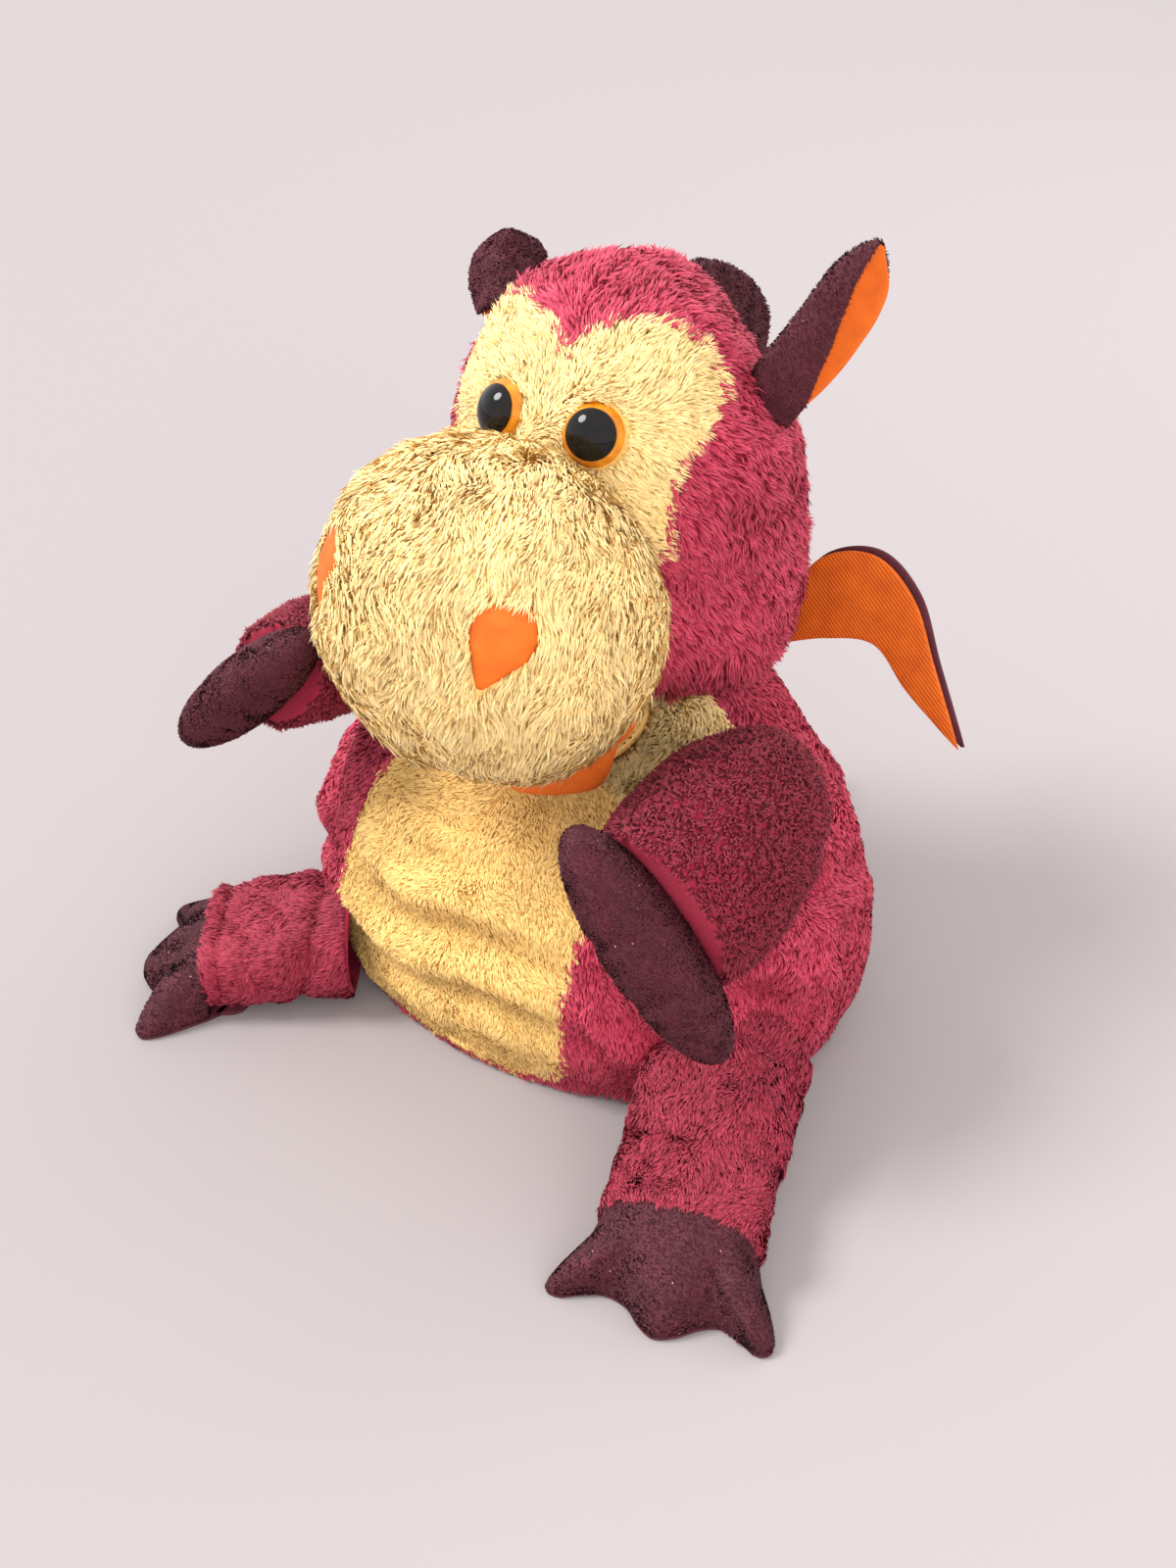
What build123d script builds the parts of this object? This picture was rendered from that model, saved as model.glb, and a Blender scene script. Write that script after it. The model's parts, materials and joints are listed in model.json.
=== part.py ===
from build123d import *
from math import cos, radians, sin, tan
import os

# Dragon glove puppet with a working mouth, sitting on its hem. Millimetres, +Z up.
# The origin is the centre of the hand opening, in the plane of the hem.
# The head faces -Y. The puppet's left side is +X.

# Driving dimensions
PLUSH = 4.0  # backing and pile root of the plush covers
CLOTH = 1.2  # lining and tricot
BOARD = 2.0  # stiff mouth boards
GAP = 0.2  # between layers of one body
CLEAR = 0.8  # between bodies

BODY_YAW = -7.0  # the glove faces a little towards the puppet's right
HEM_HEIGHT = 12.0
BELLY_HALF_WIDTH = 51.0
BELLY_TOP = 104.0

NECK_BASE = (0.0, 17.0, 132.0)
NECK_TILT = 20.0
NECK_RADII = (40.0, 30.0)
NECK_HEIGHT = 24.0
NOD_AXIS = (17.0, 142.0)  # y and z of the axis that the head and jaw tip about
BARREL_RADIUS = 30.0

SKULL_CENTRE = (0.0, 26.0, 195.0)
SKULL_RADII = (59.0, 57.0, 64.0)
MUZZLE_CENTRE = (0.0, -58.0, 172.0)
MUZZLE_RADII = (56.0, 46.0, 53.0)
MOUTH_SLOPE = 13.0
NAPE_SLOPE = 24.0

JAW_CENTRE = (0.0, -34.0, 130.0)
JAW_RADII = (42.0, 32.0, 15.0)
JAW_PLUSH = 3.0
THUMB_CENTRE = (0.0, -28.0, 124.5)
THUMB_RADII = (23.0, 24.0, 6.2)
THUMB_SLOPE = 8.0

EYE_HALF_SPACING = 17.0
EYE_HEIGHT = 222.0
EYE_RADIUS = 10.0
PUPIL_RADIUS = 8.0
SHANK_RADIUS = 2.5

EAR_LENGTH = 56.0
EAR_WIDTH = 25.0
EAR_LAYER = 3.0
CREST_THICKNESS = 5.0
WING_PLANE_Y = 62.0
WING_LAYER = 2.0

LEG_WIDTH = 52.0
LEG_THICKNESS = 31.0
LEG_SEAM = 26.0  # from the toe tips back to the toe cap's seam
SOLE = 1.5
TOE_PITCH = 24.0
TOE_SPLAY = 26.0

# Torso sections: centre y, centre z, forward tilt, half width, half depth
TORSO_SECTIONS = [
    (0.0, 0.0, 0.0, 107.0, 82.0),
    (0.0, 42.0, 0.0, 112.0, 85.0),
    (2.0, 84.0, 4.0, 95.0, 71.0),
    (10.0, 110.0, 13.0, 62.0, 48.0),
    (NECK_BASE[1], NECK_BASE[2], NECK_TILT, *NECK_RADII),
]

os.makedirs("parts", exist_ok=True)


def save(builder, label):
    builder.part.label = label
    export_step(builder.part, f"parts/{label}.step")


def ellipsoid(centre, radii):
    ball = Sphere(1, mode=Mode.PRIVATE)
    return Pos(*centre) * scale(ball, by=radii, mode=Mode.PRIVATE)


def inset(radii, amount):
    return tuple(radius - amount for radius in radii)


def direction(heading):
    # Horizontal direction, in degrees from -Y towards +X
    return Vector(sin(radians(heading)), -cos(radians(heading)), 0)


def tilted_plane(y, z, tilt, yaw=0.0):
    normal = Vector(0, -sin(radians(tilt)), cos(radians(tilt)))
    turned = Vector(0, y, z).rotate(Axis.Z, yaw)
    across = Vector(1, 0, 0).rotate(Axis.Z, yaw)
    return Plane(origin=turned, x_dir=across, z_dir=normal.rotate(Axis.Z, yaw))


# --- Glove: torso shell, belly panel, lining and hem ---------------------------


def torso_body(amount, over=0.0):
    # The glove's outer form, drawn in by an amount and run past both ends
    first, last = TORSO_SECTIONS[0], TORSO_SECTIONS[-1]
    with BuildPart(mode=Mode.PRIVATE) as body:
        for y, z, tilt, half_width, half_depth in TORSO_SECTIONS:
            with BuildSketch(tilted_plane(y, z, tilt, BODY_YAW if z < 120 else 0.0)):
                Ellipse(half_width - amount, half_depth - amount)
        loft()
        if over:
            with BuildSketch(Plane.XY.rotated((0, 0, BODY_YAW))):
                Ellipse(first[3] - amount, first[4] - amount)
            extrude(amount=-over)
            with BuildSketch(tilted_plane(*last[:3])):
                Ellipse(last[3] - amount, last[4] - amount)
            extrude(amount=over)
    return body.part


def belly_prism(margin):
    # Rounded upright outline of the belly panel, run forward through the front
    height = BELLY_TOP + margin
    with BuildPart(mode=Mode.PRIVATE) as prism:
        with BuildSketch(Plane.XZ.rotated((0, 0, BODY_YAW))):
            with Locations((0, height / 2 - 5)):
                RectangleRounded(2 * (BELLY_HALF_WIDTH + margin), height + 10, 20)
        extrude(amount=120)
    return prism.part


torso_outer = torso_body(0)
torso_inner = torso_body(PLUSH, over=4)

with BuildPart() as back_panel:
    add(torso_outer)
    add(torso_inner, mode=Mode.SUBTRACT)
    add(belly_prism(GAP), mode=Mode.SUBTRACT)
save(back_panel, "back_panel")

with BuildPart() as belly_panel:
    add(torso_outer)
    add(torso_inner, mode=Mode.SUBTRACT)
    add(belly_prism(0), mode=Mode.INTERSECT)
save(belly_panel, "belly_panel")

hem_zone = Pos(0, 0, HEM_HEIGHT / 2) * Box(300, 300, HEM_HEIGHT, mode=Mode.PRIVATE)
below_lining = Pos(0, 0, HEM_HEIGHT / 2 - 20) * Box(
    300, 300, HEM_HEIGHT + 40 + 2 * GAP, mode=Mode.PRIVATE
)

with BuildPart() as hem_band:
    add(torso_body(PLUSH + GAP))
    add(torso_body(PLUSH + GAP + CLOTH, over=4), mode=Mode.SUBTRACT)
    add(hem_zone, mode=Mode.INTERSECT)
save(hem_band, "hem_band")

with BuildPart() as glove_lining:
    add(torso_body(PLUSH + GAP))
    add(torso_body(PLUSH + GAP + CLOTH, over=4), mode=Mode.SUBTRACT)
    add(below_lining, mode=Mode.SUBTRACT)
save(glove_lining, "glove_lining")


# --- Neck: a short tube, barrel shaped where the head tips over it -------------

neck_plane = tilted_plane(NECK_BASE[1], NECK_BASE[2], NECK_TILT)


def barrel(radius):
    # A cylinder about the axis that the head and jaw tip about
    side = Plane(origin=(0, *NOD_AXIS), x_dir=(0, 1, 0), z_dir=(1, 0, 0))
    with BuildPart(side, mode=Mode.PRIVATE) as drum:
        Cylinder(radius, 140)
    return drum.part


def neck_tube(outer, inner):
    with BuildPart(mode=Mode.PRIVATE) as tube:
        with BuildSketch(neck_plane.offset(CLEAR)):
            Ellipse(NECK_RADII[0] - outer, NECK_RADII[1] - outer)
            Ellipse(NECK_RADII[0] - inner, NECK_RADII[1] - inner, mode=Mode.SUBTRACT)
        extrude(amount=NECK_HEIGHT)
        add(barrel(BARREL_RADIUS), mode=Mode.INTERSECT)
        # The thumb leaves the neck here for the lower jaw
        with Locations((0, -10, 135)):
            Box(30, 40, 17, mode=Mode.SUBTRACT)
    return tube.part


neck_front_zone = Pos(0, -50, 140) * Box(200, 100 - GAP, 100, mode=Mode.PRIVATE)
neck_back_zone = Pos(0, 50, 140) * Box(200, 100 - GAP, 100, mode=Mode.PRIVATE)

with BuildPart() as neck_back:
    add(neck_tube(0, PLUSH))
    add(neck_back_zone, mode=Mode.INTERSECT)
save(neck_back, "neck_back")

with BuildPart() as neck_front:
    add(neck_tube(0, PLUSH))
    add(neck_front_zone, mode=Mode.INTERSECT)
save(neck_front, "neck_front")

with BuildPart() as neck_lining:
    add(neck_tube(PLUSH + GAP, PLUSH + GAP + CLOTH))
save(neck_lining, "neck_lining")


# --- Head: covers, wadding, finger pocket and palate ---------------------------


def side_wedge(front_drop):
    # All that lies below the mouth plane in front and the nape plane behind
    y, z = NOD_AXIS
    front_z = z - (y + 150) * tan(radians(MOUTH_SLOPE)) + front_drop
    rear_z = z + (150 - y) * tan(radians(NAPE_SLOPE))
    side = Plane(origin=(0, 0, 0), x_dir=(0, 1, 0), z_dir=(1, 0, 0))
    with BuildPart(mode=Mode.PRIVATE) as wedge:
        with BuildSketch(side):
            with BuildLine():
                Polyline(
                    (-150, front_z),
                    (y, z + front_drop),
                    (150, rear_z),
                    (150, -20),
                    (-150, -20),
                    close=True,
                )
            make_face()
        extrude(amount=100, both=True)
    return wedge.part


def eye_plane(side):
    # On the skull's surface, facing out along its normal
    x = side * EYE_HALF_SPACING
    rise = EYE_HEIGHT - SKULL_CENTRE[2]
    a, b, c = SKULL_RADII
    depth = b * (1 - (x / a) ** 2 - (rise / c) ** 2) ** 0.5
    normal = Vector(x / a**2, -depth / b**2, rise / c**2)
    surface = Vector(x, SKULL_CENTRE[1] - depth, EYE_HEIGHT)
    return Plane(origin=surface, x_dir=(1, 0, -normal.X / normal.Z), z_dir=normal)


def finger_pocket_form(amount):
    # Where four fingers go: out of the neck and forward over the palate
    with BuildPart(mode=Mode.PRIVATE) as pocket:
        with Locations((0, -32, 162)):
            Box(74 - 2 * amount, 96 - 2 * amount, 42 - 2 * amount)
        fillet(pocket.edges(), radius=18 - amount)
    return pocket.part


head_cut = side_wedge(2 * GAP + BOARD + CLOTH)
neck_room = barrel(BARREL_RADIUS + CLEAR)
skull_outer = ellipsoid(SKULL_CENTRE, SKULL_RADII)
skull_inner = ellipsoid(SKULL_CENTRE, inset(SKULL_RADII, PLUSH))
muzzle_outer = ellipsoid(MUZZLE_CENTRE, MUZZLE_RADII)
muzzle_inner = ellipsoid(MUZZLE_CENTRE, inset(MUZZLE_RADII, PLUSH))


def mask_prism(margin):
    # The pale mask: two lobes over the eyes with a notch between them
    with BuildPart(mode=Mode.PRIVATE) as prism:
        with BuildSketch(Plane.XZ.offset(-8)):
            with Locations((20, 226), (-20, 226)):
                Circle(24 + margin)
            with Locations((0, 205)):
                Rectangle(2 * (40 + margin), 40 + 2 * margin)
        extrude(amount=80)
    return prism.part


def cut_head_openings():
    # Room for the mouth, the neck, the fingers and the two eye shanks
    add(head_cut, mode=Mode.SUBTRACT)
    add(neck_room, mode=Mode.SUBTRACT)
    add(finger_pocket_form(-GAP), mode=Mode.SUBTRACT)
    with Locations(eye_plane(1), eye_plane(-1)):
        Cylinder(SHANK_RADIUS + GAP, 40, mode=Mode.SUBTRACT)


with BuildPart() as skull_cover:
    add(skull_outer)
    add(skull_inner, mode=Mode.SUBTRACT)
    add(mask_prism(GAP), mode=Mode.SUBTRACT)
    add(ellipsoid(MUZZLE_CENTRE, inset(MUZZLE_RADII, -GAP)), mode=Mode.SUBTRACT)
    cut_head_openings()
save(skull_cover, "skull_cover")

with BuildPart() as face_mask:
    add(skull_outer)
    add(skull_inner, mode=Mode.SUBTRACT)
    add(mask_prism(0), mode=Mode.INTERSECT)
    add(ellipsoid(MUZZLE_CENTRE, inset(MUZZLE_RADII, -GAP)), mode=Mode.SUBTRACT)
    cut_head_openings()
save(face_mask, "face_mask")

with BuildPart() as muzzle_cover:
    add(muzzle_outer)
    add(muzzle_inner, mode=Mode.SUBTRACT)
    add(ellipsoid(SKULL_CENTRE, inset(SKULL_RADII, PLUSH - GAP)), mode=Mode.SUBTRACT)
    cut_head_openings()
save(muzzle_cover, "muzzle_cover")


def washer(plane):
    with BuildPart(plane.offset(-PLUSH - 3.5), mode=Mode.PRIVATE) as ring:
        Cylinder(8, 2.2)
        Cylinder(SHANK_RADIUS, 4, mode=Mode.SUBTRACT)
    return ring.part


def washer_room(plane):
    with BuildPart(plane.offset(-PLUSH - 3.5), mode=Mode.PRIVATE) as room:
        Cylinder(8 + GAP, 2.2 + 2 * GAP)
    return room.part


with BuildPart() as head_wadding:
    add(ellipsoid(SKULL_CENTRE, inset(SKULL_RADII, PLUSH + GAP)))
    cut_head_openings()
    for side in (1, -1):
        add(washer_room(eye_plane(side)), mode=Mode.SUBTRACT)
save(head_wadding, "head_wadding")

with BuildPart() as muzzle_wadding:
    add(ellipsoid(MUZZLE_CENTRE, inset(MUZZLE_RADII, PLUSH + GAP)))
    add(ellipsoid(SKULL_CENTRE, inset(SKULL_RADII, PLUSH - GAP)), mode=Mode.SUBTRACT)
    cut_head_openings()
save(muzzle_wadding, "muzzle_wadding")

with BuildPart() as finger_pocket:
    add(finger_pocket_form(0))
    add(head_cut, mode=Mode.SUBTRACT)
    add(neck_room, mode=Mode.SUBTRACT)
    add(finger_pocket_form(CLOTH), mode=Mode.SUBTRACT)
save(finger_pocket, "finger_pocket")


def mouth_layer(low, high, radii, centre_y):
    # A flat layer that lies along the mouth plane, cut to the mouth's outline
    slope = radians(MOUTH_SLOPE)
    middle = Vector(0, centre_y, NOD_AXIS[1] - (NOD_AXIS[0] - centre_y) * tan(slope))
    plane = Plane(origin=middle, x_dir=(1, 0, 0), z_dir=(0, -sin(slope), cos(slope)))
    with BuildPart(mode=Mode.PRIVATE) as layer:
        with BuildSketch(plane.offset(low)):
            Ellipse(*radii)
        extrude(amount=high - low)
        add(neck_room, mode=Mode.SUBTRACT)
    return layer.part


MOUTH_GAP = 0.4
with BuildPart() as palate_lining:
    add(mouth_layer(MOUTH_GAP, MOUTH_GAP + CLOTH, (31, 25), -49))
save(palate_lining, "palate_lining")

with BuildPart() as palate_board:
    low = MOUTH_GAP + CLOTH + GAP
    add(mouth_layer(low, low + BOARD - 2 * GAP, (29, 23), -49))
save(palate_board, "palate_board")


# --- Nostril patches: leaf shaped, laid on the muzzle ---------------------------

# Heading and seat of each patch; the right one is sewn a little further round the muzzle
NOSTRIL_SEATS = {1: (30.0, (16, -69, 186)), -1: (-46.0, (-22, -69, 188))}
NOSTRIL_LEAN = 24.0


def nostril(side):
    # A leaf about 30 by 20 with one point up and out and one point down
    heading, seat = NOSTRIL_SEATS[side]
    front = Plane(
        origin=seat,
        x_dir=(cos(radians(heading)), sin(radians(heading)), 0),
        z_dir=direction(heading),
    )
    with BuildPart(mode=Mode.PRIVATE) as patch:
        add(ellipsoid(MUZZLE_CENTRE, inset(MUZZLE_RADII, -CLOTH - GAP)))
        add(ellipsoid(MUZZLE_CENTRE, inset(MUZZLE_RADII, -GAP)), mode=Mode.SUBTRACT)
        with BuildSketch(front.rotated((0, 0, -side * NOSTRIL_LEAN))) as leaf:
            with Locations((0, 4)):
                Circle(10.5)
            with BuildLine():
                Polyline((-9, -1), (0, -17), (9, -1), close=True)
            make_face()
        extrude(leaf.sketch, amount=60, mode=Mode.INTERSECT)
    return patch.part


for side, name in ((1, "left"), (-1, "right")):
    with BuildPart() as nostril_patch:
        add(nostril(side))
    save(nostril_patch, f"{name}_nostril_patch")


# --- Safety eyes: amber cap with its shank, black pupil, locking washer ---------

EYE_RISE = 6.0
EYE_STANDOFF = 0.6  # the cap's flat back sits just off the pile
CAP_BALL = (EYE_RADIUS**2 + EYE_RISE**2) / (2 * EYE_RISE)
PUPIL_SINK = 3.5

for side, name in ((1, "left"), (-1, "right")):
    socket = eye_plane(side)
    crown = EYE_STANDOFF + EYE_RISE

    with BuildPart() as eye_cap:
        with Locations(socket.offset(crown - CAP_BALL)):
            Sphere(CAP_BALL)
        with Locations(socket.offset(EYE_STANDOFF - 20)):
            Box(60, 60, 40, mode=Mode.SUBTRACT)
        with Locations(socket.offset(-5)):
            Cylinder(SHANK_RADIUS, 12)
        with Locations(socket.offset(crown)):
            Cylinder(PUPIL_RADIUS + GAP, 2 * PUPIL_SINK, mode=Mode.SUBTRACT)
    save(eye_cap, f"{name}_eye_cap")

    with BuildPart() as eye_pupil:
        with Locations(socket.offset(crown - CAP_BALL + 0.4)):
            Sphere(CAP_BALL)
        with Locations(socket.offset(crown)):
            Cylinder(PUPIL_RADIUS, 2 * (PUPIL_SINK - GAP), mode=Mode.INTERSECT)
    save(eye_pupil, f"{name}_eye_pupil")

    with BuildPart() as eye_washer:
        add(washer(socket))
    save(eye_washer, f"{name}_eye_washer")


# --- Crest, ears and wings: flat sewn pieces ------------------------------------


EAR_LEAN = {1: (0.42, 0.05, 0.90), -1: (-0.42, 0.78, 0.24)}  # the right one lies back


def ear_plane(side):
    # The ear leans out; its face looks forward
    along = Vector(*EAR_LEAN[side]).normalized()
    across = Vector(0.75, side * 0.66, 0)
    across = (across - along * across.dot(along)).normalized()
    base = Vector(side * 58, 34, 226)
    return Plane(origin=base, x_dir=along, z_dir=across.cross(along))


def ear_layer(side, low, high):
    with BuildPart(mode=Mode.PRIVATE) as layer:
        with BuildSketch(ear_plane(side).offset(low)):
            with BuildLine():
                Spline(
                    (0, -7),
                    (EAR_LENGTH * 0.4, -EAR_WIDTH / 2),
                    (EAR_LENGTH * 0.8, -8),
                    (EAR_LENGTH, 0),
                )
                Spline(
                    (EAR_LENGTH, 0),
                    (EAR_LENGTH * 0.8, 8),
                    (EAR_LENGTH * 0.4, EAR_WIDTH / 2),
                    (0, 7),
                )
                Line((0, 7), (0, -7))
            make_face()
        extrude(amount=high - low)
    return layer.part


for side, name in ((1, "left"), (-1, "right")):
    with BuildPart() as ear_face:
        add(ear_layer(side, 0, EAR_LAYER))
    save(ear_face, f"{name}_ear_face")
    with BuildPart() as ear_back:
        add(ear_layer(side, -EAR_LAYER - GAP, -GAP))
    save(ear_back, f"{name}_ear_back")

with BuildPart() as head_crest:
    # Soft fin along the back of the head
    with BuildSketch(Plane.YZ.offset(-CREST_THICKNESS / 2)):
        with BuildLine():
            Spline((54, 244), (80, 247), (102, 228), (107, 202), (98, 180), (80, 168))
            Line((80, 168), (54, 244))
        make_face()
    extrude(amount=CREST_THICKNESS)
    add(ellipsoid(SKULL_CENTRE, inset(SKULL_RADII, -GAP)), mode=Mode.SUBTRACT)
save(head_crest, "head_crest")


def wing_layer(side, low, high):
    # A sickle that rises from its root, then falls to a point
    back = Plane(origin=(0, WING_PLANE_Y, 0), x_dir=(1, 0, 0), z_dir=(0, -1, 0))
    with BuildPart(mode=Mode.PRIVATE) as layer:
        with BuildSketch(back.offset(-high)):
            with BuildLine():
                Spline(
                    (side * 44, 134),
                    (side * 58, 158),
                    (side * 78, 163),
                    (side * 94, 150),
                    (side * 104, 126),
                    (side * 116, 96),
                )
                Spline(
                    (side * 116, 96),
                    (side * 96, 112),
                    (side * 82, 128),
                    (side * 64, 124),
                    (side * 44, 116),
                )
                Line((side * 44, 116), (side * 44, 134))
            make_face()
        extrude(amount=high - low)
    return layer.part


for side, name in ((1, "left"), (-1, "right")):
    with BuildPart() as wing_face:
        add(wing_layer(side, -WING_LAYER - GAP, -GAP))
    save(wing_face, f"{name}_wing_face")
    with BuildPart() as wing_back:
        add(wing_layer(side, 0, WING_LAYER))
    save(wing_back, f"{name}_wing_back")


# --- Lower jaw: cover, thumb pocket, board and orange lining --------------------

jaw_low = -MOUTH_GAP - CLOTH - GAP - BOARD - GAP
jaw_room = side_wedge(jaw_low)


def jaw_form(amount):
    # The jaw hangs parallel to the mouth, so its front is the lower end
    body = scale(Sphere(1, mode=Mode.PRIVATE), by=inset(JAW_RADII, amount), mode=Mode.PRIVATE)
    return Pos(*JAW_CENTRE) * Rot(MOUTH_SLOPE, 0, 0) * body


def thumb_pocket_form(amount):
    # Where the thumb goes: out of the neck's window, forward under the mouth
    room = scale(Sphere(1, mode=Mode.PRIVATE), by=inset(THUMB_RADII, amount), mode=Mode.PRIVATE)
    return Pos(*THUMB_CENTRE) * Rot(THUMB_SLOPE, 0, 0) * room


with BuildPart() as jaw_cover:
    add(jaw_form(0))
    add(jaw_form(JAW_PLUSH), mode=Mode.SUBTRACT)
    add(thumb_pocket_form(0), mode=Mode.SUBTRACT)
    add(jaw_room, mode=Mode.INTERSECT)
    add(neck_room, mode=Mode.SUBTRACT)
save(jaw_cover, "jaw_cover")

with BuildPart() as jaw_wadding:
    add(jaw_form(JAW_PLUSH + GAP))
    add(jaw_room, mode=Mode.INTERSECT)
    add(neck_room, mode=Mode.SUBTRACT)
    add(thumb_pocket_form(0), mode=Mode.SUBTRACT)
save(jaw_wadding, "jaw_wadding")

with BuildPart() as thumb_pocket:
    add(thumb_pocket_form(GAP))
    add(thumb_pocket_form(GAP + 1), mode=Mode.SUBTRACT)
    add(jaw_room, mode=Mode.INTERSECT)
    add(neck_room, mode=Mode.SUBTRACT)
save(thumb_pocket, "thumb_pocket")

with BuildPart() as jaw_lining:
    add(mouth_layer(-MOUTH_GAP - CLOTH, -MOUTH_GAP, (38, 26), -36))
save(jaw_lining, "jaw_lining")

with BuildPart() as jaw_board:
    high = -MOUTH_GAP - CLOTH - GAP
    add(mouth_layer(high - BOARD, high, (37, 25), -36))
save(jaw_board, "jaw_board")


# --- Arms: sleeve, its wadding and a flat paw -----------------------------------

# Per side: shoulder, wrist and paw tips, as points, for the left and right arm
ARMS = {
    "left": {"shoulder": (86, -24, 116), "wrist": (80, -80, 102), "long": (0.50, 0.0, -0.87)},
    "right": {"shoulder": (-84, -16, 117), "wrist": (-86, -64, 124), "long": (-0.7, -0.25, -0.65)},
}
SLEEVE_WIDE = 31.0
SLEEVE_THIN = 21.0
PAW_RADII = (43.0, 12.0, 17.0)
PAW_REACH = 12.0


def arm_plane(arm, share):
    # Across the arm, at a share of the way from shoulder to wrist
    shoulder, wrist = Vector(arm["shoulder"]), Vector(arm["wrist"])
    along = (wrist - shoulder).normalized()
    wide = Vector(arm["long"])
    wide = (wide - along * wide.dot(along)).normalized()
    return Plane(origin=shoulder + (wrist - shoulder) * share, x_dir=wide, z_dir=along)


def sleeve_form(arm, amount):
    # Rounded at the shoulder, open and flat at the wrist
    reach = (Vector(arm["wrist"]) - Vector(arm["shoulder"])).length
    radii = (SLEEVE_WIDE - amount, SLEEVE_THIN - amount, 0.8 * reach - amount)
    with BuildPart(mode=Mode.PRIVATE) as form:
        blob = scale(Sphere(1, mode=Mode.PRIVATE), by=radii, mode=Mode.PRIVATE)
        add(arm_plane(arm, 0.62).location * blob)
        wrist_cut = arm_plane(arm, 1.0).location * Pos(0, 0, 50)
        add(wrist_cut * Box(200, 200, 100, mode=Mode.PRIVATE), mode=Mode.SUBTRACT)
    return form.part


for name, arm in ARMS.items():
    with BuildPart() as sleeve:
        add(sleeve_form(arm, 0))
        add(sleeve_form(arm, PLUSH), mode=Mode.SUBTRACT)
    save(sleeve, f"{name}_sleeve")

    with BuildPart() as arm_wadding:
        add(sleeve_form(arm, PLUSH + GAP))
    save(arm_wadding, f"{name}_arm_wadding")

    with BuildPart() as paw:
        blob = scale(Sphere(1, mode=Mode.PRIVATE), by=PAW_RADII, mode=Mode.PRIVATE)
        add((arm_plane(arm, 1.0).location * Pos(4, 0, PAW_REACH)) * blob)
        wrist_cut = arm_plane(arm, 1.0).location * Pos(0, 0, GAP - 50)
        add(wrist_cut * Box(200, 200, 100, mode=Mode.PRIVATE), mode=Mode.SUBTRACT)
    save(paw, f"{name}_paw")


# --- Legs: cover, wadding, toe cap and sole -------------------------------------

# Root and toe tip of each leg on the floor plan
LEGS = {"left": ((97, -66), (118.8, -145.7)), "right": ((-77, -75), (-126, -107))}


def leg_form(floor, length, amount):
    # A flattened tube along X of the floor plane, round where it meets the glove
    half = LEG_THICKNESS / 2 - amount
    radius = LEG_THICKNESS / 2
    side_plane = Plane(
        origin=floor.origin + Vector(0, 0, SOLE + GAP + radius),
        x_dir=floor.x_dir,
        z_dir=-floor.y_dir,
    )
    with BuildPart(mode=Mode.PRIVATE) as form:
        with BuildSketch(side_plane):
            with Locations((radius, 0)):
                Circle(half)
            with Locations(((radius + length) / 2, 0)):
                Rectangle(length - radius, 2 * half)
        extrude(amount=LEG_WIDTH / 2 - amount, both=True)
        straight = form.edges().filter_by(GeomType.LINE)
        along = Axis(origin=(0, 0, 0), direction=floor.x_dir)
        fillet(straight.filter_by(along), radius=half * 0.7)
    return form.part


def toe_outline():
    # Seam edge at x = 0, three toes ahead of it
    with Locations((3, 0)):
        Rectangle(8, LEG_WIDTH)
    for spread in (-1, 0, 1):
        with Locations(Location((11, spread * TOE_PITCH, 0), (0, 0, spread * TOE_SPLAY))):
            Ellipse(15, 9.5)


for name, (root, tip) in LEGS.items():
    reach = Vector(*tip, 0) - Vector(*root, 0)
    length = reach.length - LEG_SEAM
    floor = Plane(origin=Vector(*root, 0), x_dir=reach.normalized(), z_dir=(0, 0, 1))
    toe_plane = floor.shift_origin(floor.origin + floor.x_dir * length)

    with BuildPart() as leg_cover:
        add(leg_form(floor, length, 0))
        add(leg_form(floor, length, PLUSH), mode=Mode.SUBTRACT)
    save(leg_cover, f"{name}_leg_cover")

    with BuildPart() as leg_wadding:
        add(leg_form(floor, length, PLUSH + GAP))
    save(leg_wadding, f"{name}_leg_wadding")

    with BuildPart() as toe_cap:
        with BuildSketch(toe_plane.offset(SOLE + GAP)):
            toe_outline()
        extrude(amount=LEG_THICKNESS)
        # The cap slopes from the seam down to the toes
        slope = Plane(
            origin=toe_plane.origin + Vector(0, 0, LEG_THICKNESS),
            x_dir=floor.y_dir,
            z_dir=(floor.x_dir * 24 + Vector(0, 0, 26)).normalized(),
        )
        split(bisect_by=slope, keep=Keep.BOTTOM)
        behind = toe_plane.location * Pos(-50 + GAP, 0, 20)
        add(behind * Box(100, 100, 100, mode=Mode.PRIVATE), mode=Mode.SUBTRACT)
    save(toe_cap, f"{name}_toe_cap")

    with BuildPart() as sole:
        with BuildSketch(toe_plane):
            toe_outline()
            with Locations((9 - length / 2, 0)):
                Rectangle(length - 18, LEG_WIDTH - 8)
        extrude(amount=SOLE)
    save(sole, f"{name}_sole")


# --- Tail: short, stuffed and pointed -------------------------------------------

TAIL_HEADING = 180 + BODY_YAW
TAIL_ROOT = 87.5
TAIL_SECTIONS = [(0, 18, 17), (20, 15, 14), (38, 10, 9.5)]
TAIL_TIP = 56.0


def tail_plane(along):
    rise = 19 + along * 0.06
    out = direction(TAIL_HEADING)
    return Plane(origin=out * (TAIL_ROOT + along) + Vector(0, 0, rise), x_dir=(0, 0, 1), z_dir=out)


def tail_form(amount):
    with BuildPart(mode=Mode.PRIVATE) as form:
        for along, half_height, half_width in TAIL_SECTIONS:
            with BuildSketch(tail_plane(along)):
                Ellipse(half_height - amount, half_width - amount)
        loft()
    return form.part


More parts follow.
